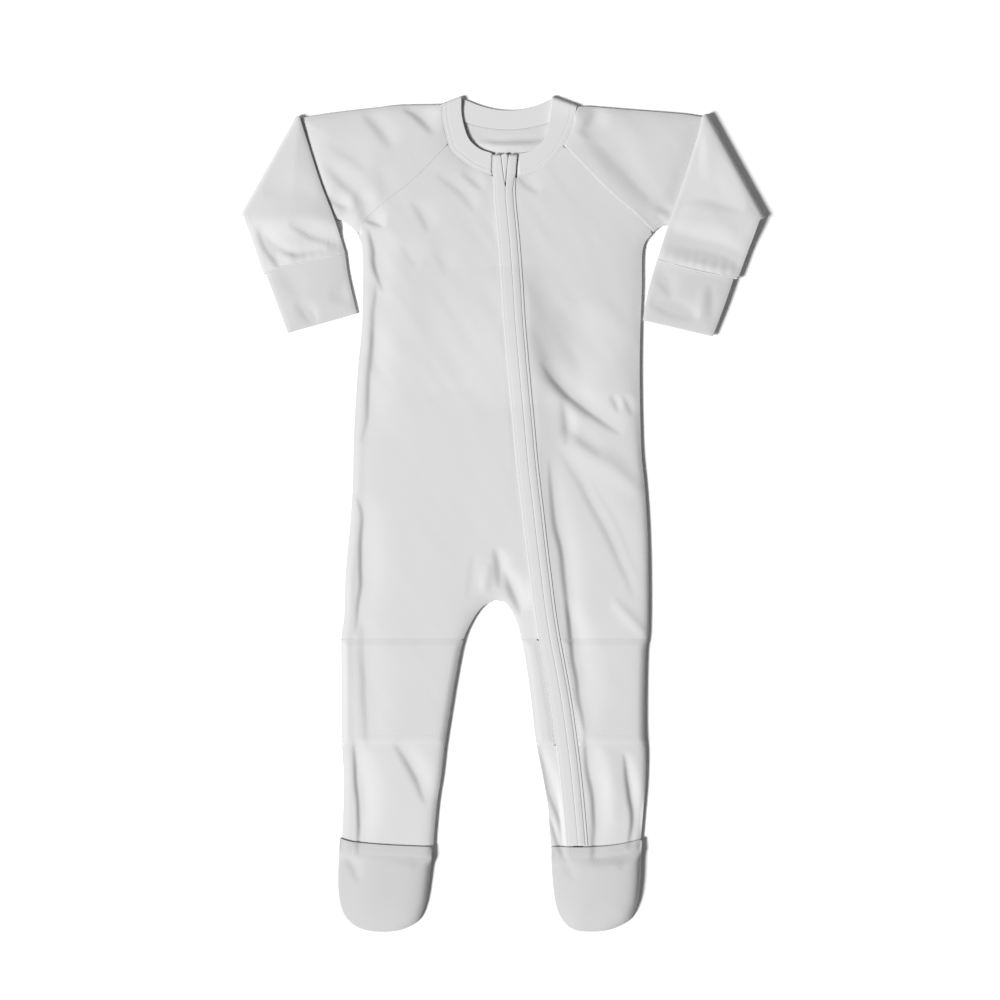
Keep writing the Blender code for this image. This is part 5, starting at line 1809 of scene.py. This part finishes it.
class BuildFeet(bpy.types.Operator):
    """Build the covers of the feet, hemmed where they lap over the legs"""

    bl_idname = "sleepsuit.feet"
    bl_label = "Foot covers"

    def execute(self, context):
        coat = made_materials(context.scene)["foot"]
        for side, foot in FEET.items():
            skins = cover_under(foot), cover_over(foot)
            nodes = (f"foot_{side}_front",)
            shell(f"foot_{side}_cover", foot_outline(foot), *skins, coat, "jersey", nodes, 1.6, 0.35)
        return {"FINISHED"}


def band_line(rows, place, lift):
    """A line on the neckband's face, some way in from its sewn edge."""
    inner, outer = (np.array(edge) for edge in zip(*rows))
    across = inner - outer
    across /= np.linalg.norm(across, axis=1)[:, None]
    along = np.gradient((inner + outer) / 2, axis=0)
    return outer + across * place + upright(across, along) * (RIB / 2 + lift)


class BuildStitching(bpy.types.Operator):
    """Sew the topstitching of the neckband, plackets, hems, cuffs and knee patches"""

    bl_idname = "sleepsuit.stitching"
    bl_label = "Stitching"

    def execute(self, context):
        thread = made_materials(context.scene)["thread"]
        sewing = context.scene.sleepsuit_stitching
        tree = repeat_tree("stitch row", stitch_unit)
        sizes = {
            "Pitch": sewing.pitch, "Length": sewing.length, "Width": sewing.thread, "Height": sewing.thread,
            "Seed": sewing.seed,
        }
        rows = neck_rows()
        lines = [band_line(rows, place, -0.12) for place in TWIN_STITCH]
        for line in lines:
            line[:, 2] = np.maximum(line[:, 2], 0.3)
        lines.append(laid_on(shifted(neck_points(NECK_OUT, "back", NECK_FINE), -1.4)[6:-6], back_top, 0.02))
        repeated("stitches_neckband", lines, tree, thread, "trim", **sizes)
        left = placket_rows("left")[0] + np.array([1.3, 0.0, TRIM / 2 - 0.06])
        right = placket_rows("right")[1] + np.array([-0.7, 0.0, TRIM / 2 + 0.02])
        repeated("stitches_plackets", [left[1:-1], right[1:-1]], tree, thread, "trim", **sizes)
        lines = []
        for foot in FEET.values():
            cover = cover_over(foot)
            low, high = foot["hem"][0][0], foot["hem"][-1][0]
            lines += [laid_on(hem_row(foot, row, low, high), cover, 0.02) for row in HEM_STITCH]
        repeated("stitches_feet", lines, tree, thread, "trim", **sizes)
        lines = []
        for side, table in SLEEVES.items():
            line = shares(table["seam"], np.linspace(0.02, 0.975, 40)) - np.array([0.0, 0.1])
            height = SLEEVE_HANG[side] + cuff_top(line, table, side) + 0.1
            lines.append(np.column_stack([line, height]))
        thick = {"Width": 3.6 * sewing.thread, "Height": 1.7 * sewing.thread}
        seam = {**sizes, **thick, "Pitch": 0.0014, "Play": 0.02}
        repeated("stitches_cuffs", lines, tree, thread, "trim", **seam)
        straight, slanted = [], []
        for part in KNEES:
            outline = knee_outline(part)
            over = knee_over(outline)
            left, right = knee_edges(part)
            y = KNEE_END + KNEE_HEM
            ends = [(np.interp(-y, -edge[:, 1], edge[:, 0]), y) for edge in (left, right)]
            straight.append(laid_on(curve(ends, EDGE_STEP)[1:-1], over, -0.04))
            if part == "knee_right_inner":
                slanted.append(laid_on(right[2:-2] - np.array([1.6, 0.0]), over, 0.0))
            if part == "knee_right_outer":
                slanted.append(laid_on(left[2:-2] + np.array([1.6, 0.0]), over, 0.0))
        repeated("stitches_knees", straight, tree, thread, "trim", **sizes)
        sizes.update(Pitch=0.0019, Length=0.0026, Swing=0.75)
        repeated("stitches_knee_edges", slanted, tree, thread, "trim", **sizes)
        return {"FINISHED"}


class BuildStage(bpy.types.Operator):
    """Set the floor, the lights and the camera"""

    bl_idname = "sleepsuit.stage"
    bl_label = "Stage"

    def execute(self, context):
        scene = context.scene
        stage = scene.sleepsuit_stage
        mesh = bpy.data.meshes.new("floor")
        signs = (-1, -1), (1, -1), (1, 1), (-1, 1)
        corners = [(x * FLOOR_HALF, y * FLOOR_HALF, -FLOOR_DROP) for x, y in signs]
        mesh.from_pydata(corners, [], [(0, 1, 2, 3)])
        graph = Graph("pale floor")
        colour = graph.shade(tuple(stage.floor_colour), 0.015, graph.speck(0.2))
        graph.set(Base_Color=colour, Roughness=0.9, Specular_IOR_Level=0.1)
        mesh.materials.append(graph.material)
        floor = bpy.data.objects.new("floor", mesh)
        scene.collection.objects.link(floor)

        lamp = bpy.data.lights.new("key", "AREA")
        lamp.shape, lamp.size, lamp.energy = "DISK", stage.softbox, stage.key
        key = bpy.data.objects.new("key", lamp)
        key.location = Vector(KEY_FROM).normalized() * KEY_AWAY
        key.rotation_euler = (-key.location).to_track_quat("-Z", "Y").to_euler()
        scene.collection.objects.link(key)

        world = scene.world or bpy.data.worlds.new("surroundings")
        scene.world = world
        world.use_nodes = True
        sky = world.node_tree.nodes["Background"]
        sky.inputs["Color"].default_value = (1.0, 1.0, 1.0, 1.0)
        sky.inputs["Strength"].default_value = stage.fill

        lens = bpy.data.cameras.new("camera")
        lens.lens, lens.sensor_width, lens.sensor_fit = stage.lens, FILM, "HORIZONTAL"
        lens.clip_end = 20.0
        camera = bpy.data.objects.new("camera", lens)
        x, y = (over + middle * MM for over, middle in zip(CAMERA_OVER, CENTRE))
        camera.location = (x, y, stage.across * stage.lens / FILM)
        camera.location.z += CAMERA_LIFT
        scene.collection.objects.link(camera)
        scene.camera = camera
        scene.view_settings.view_transform = "Standard"
        return {"FINISHED"}


class SleepsuitPanel(bpy.types.Panel):
    """The steps of the sleepsuit, in order"""

    bl_idname = "VIEW3D_PT_sleepsuit"
    bl_label = "Sleepsuit"
    bl_space_type = "VIEW_3D"
    bl_region_type = "UI"
    bl_category = "Sleepsuit"

    def draw(self, context):
        for title in SETTINGS:
            settings = getattr(context.scene, title)
            box = self.layout.box()
            for name in settings.__annotations__:
                box.prop(settings, name)
        for step in STEPS:
            self.layout.operator(step.bl_idname)


STEPS = (
    BuildStage, BuildBack, BuildFronts, BuildSleeves, BuildNeckband,
    BuildZip, BuildTrims, BuildKnees, BuildFeet, BuildStitching,
)
SETTINGS = {
    "sleepsuit_cloth": ClothSettings,
    "sleepsuit_stitching": StitchSettings,
    "sleepsuit_stage": StageSettings,
}

FRONTS = ("front_cloth_left", "front_cloth_right")
# Cut of each sheet in metres: width, length, area, how it lies, and what it lies on
SHEETS = {
    "back_cloth": (0.229, 0.533, 0.0970, "laid", ()),
    "front_cloth_left": (0.171, 0.520, 0.0548, "laid", ("back_cloth",)),
    "front_cloth_right": (0.105, 0.519, 0.0370, "laid", ("back_cloth",)),
    "sleeve_cloth_left": (0.205, 0.190, 0.0277, "folded", FRONTS[:1]),
    "sleeve_cloth_right": (0.205, 0.190, 0.0277, "folded", FRONTS[1:]),
    "cuff_rib_left": (0.110, 0.045, 0.0049, "laid", FRONTS[:1]),
    "cuff_rib_right": (0.110, 0.045, 0.0049, "laid", FRONTS[1:]),
    "neckband_rib": (0.0155, 0.232, None, "laid", ("back_cloth",)),
    "knee_left_patch": (0.0905, 0.078, 0.0064, "laid", FRONTS[:1]),
    "knee_right_inner_patch": (0.0255, 0.078, 0.00107, "laid", FRONTS[:1]),
    "knee_right_outer_patch": (0.0635, 0.078, 0.0043, "laid", FRONTS[1:]),
    "foot_left_cover": (0.0692, 0.069, 0.0041, "laid", ("foot_left_sole",)),
    "foot_right_cover": (0.0663, 0.0684, 0.0039, "laid", ("foot_right_sole",)),
    "foot_left_sole": (0.0692, 0.069, 0.00404, "laid", ()),
    "foot_right_sole": (0.0663, 0.0684, 0.00383, "laid", ()),
    "zip_tape": (0.014, 0.488, None, "laid", FRONTS),
}


def register():
    for kind in (*SETTINGS.values(), *STEPS, SleepsuitPanel):
        bpy.utils.register_class(kind)
    for name, kind in SETTINGS.items():
        setattr(bpy.types.Scene, name, PointerProperty(type=kind))


def unregister():
    for name in SETTINGS:
        delattr(bpy.types.Scene, name)
    for kind in (SleepsuitPanel, *reversed(STEPS), *SETTINGS.values()):
        bpy.utils.unregister_class(kind)


def main():
    register()
    for step in STEPS:
        getattr(bpy.ops.sleepsuit, step.bl_idname.split(".")[1])()


if __name__ == "__main__":
    main()
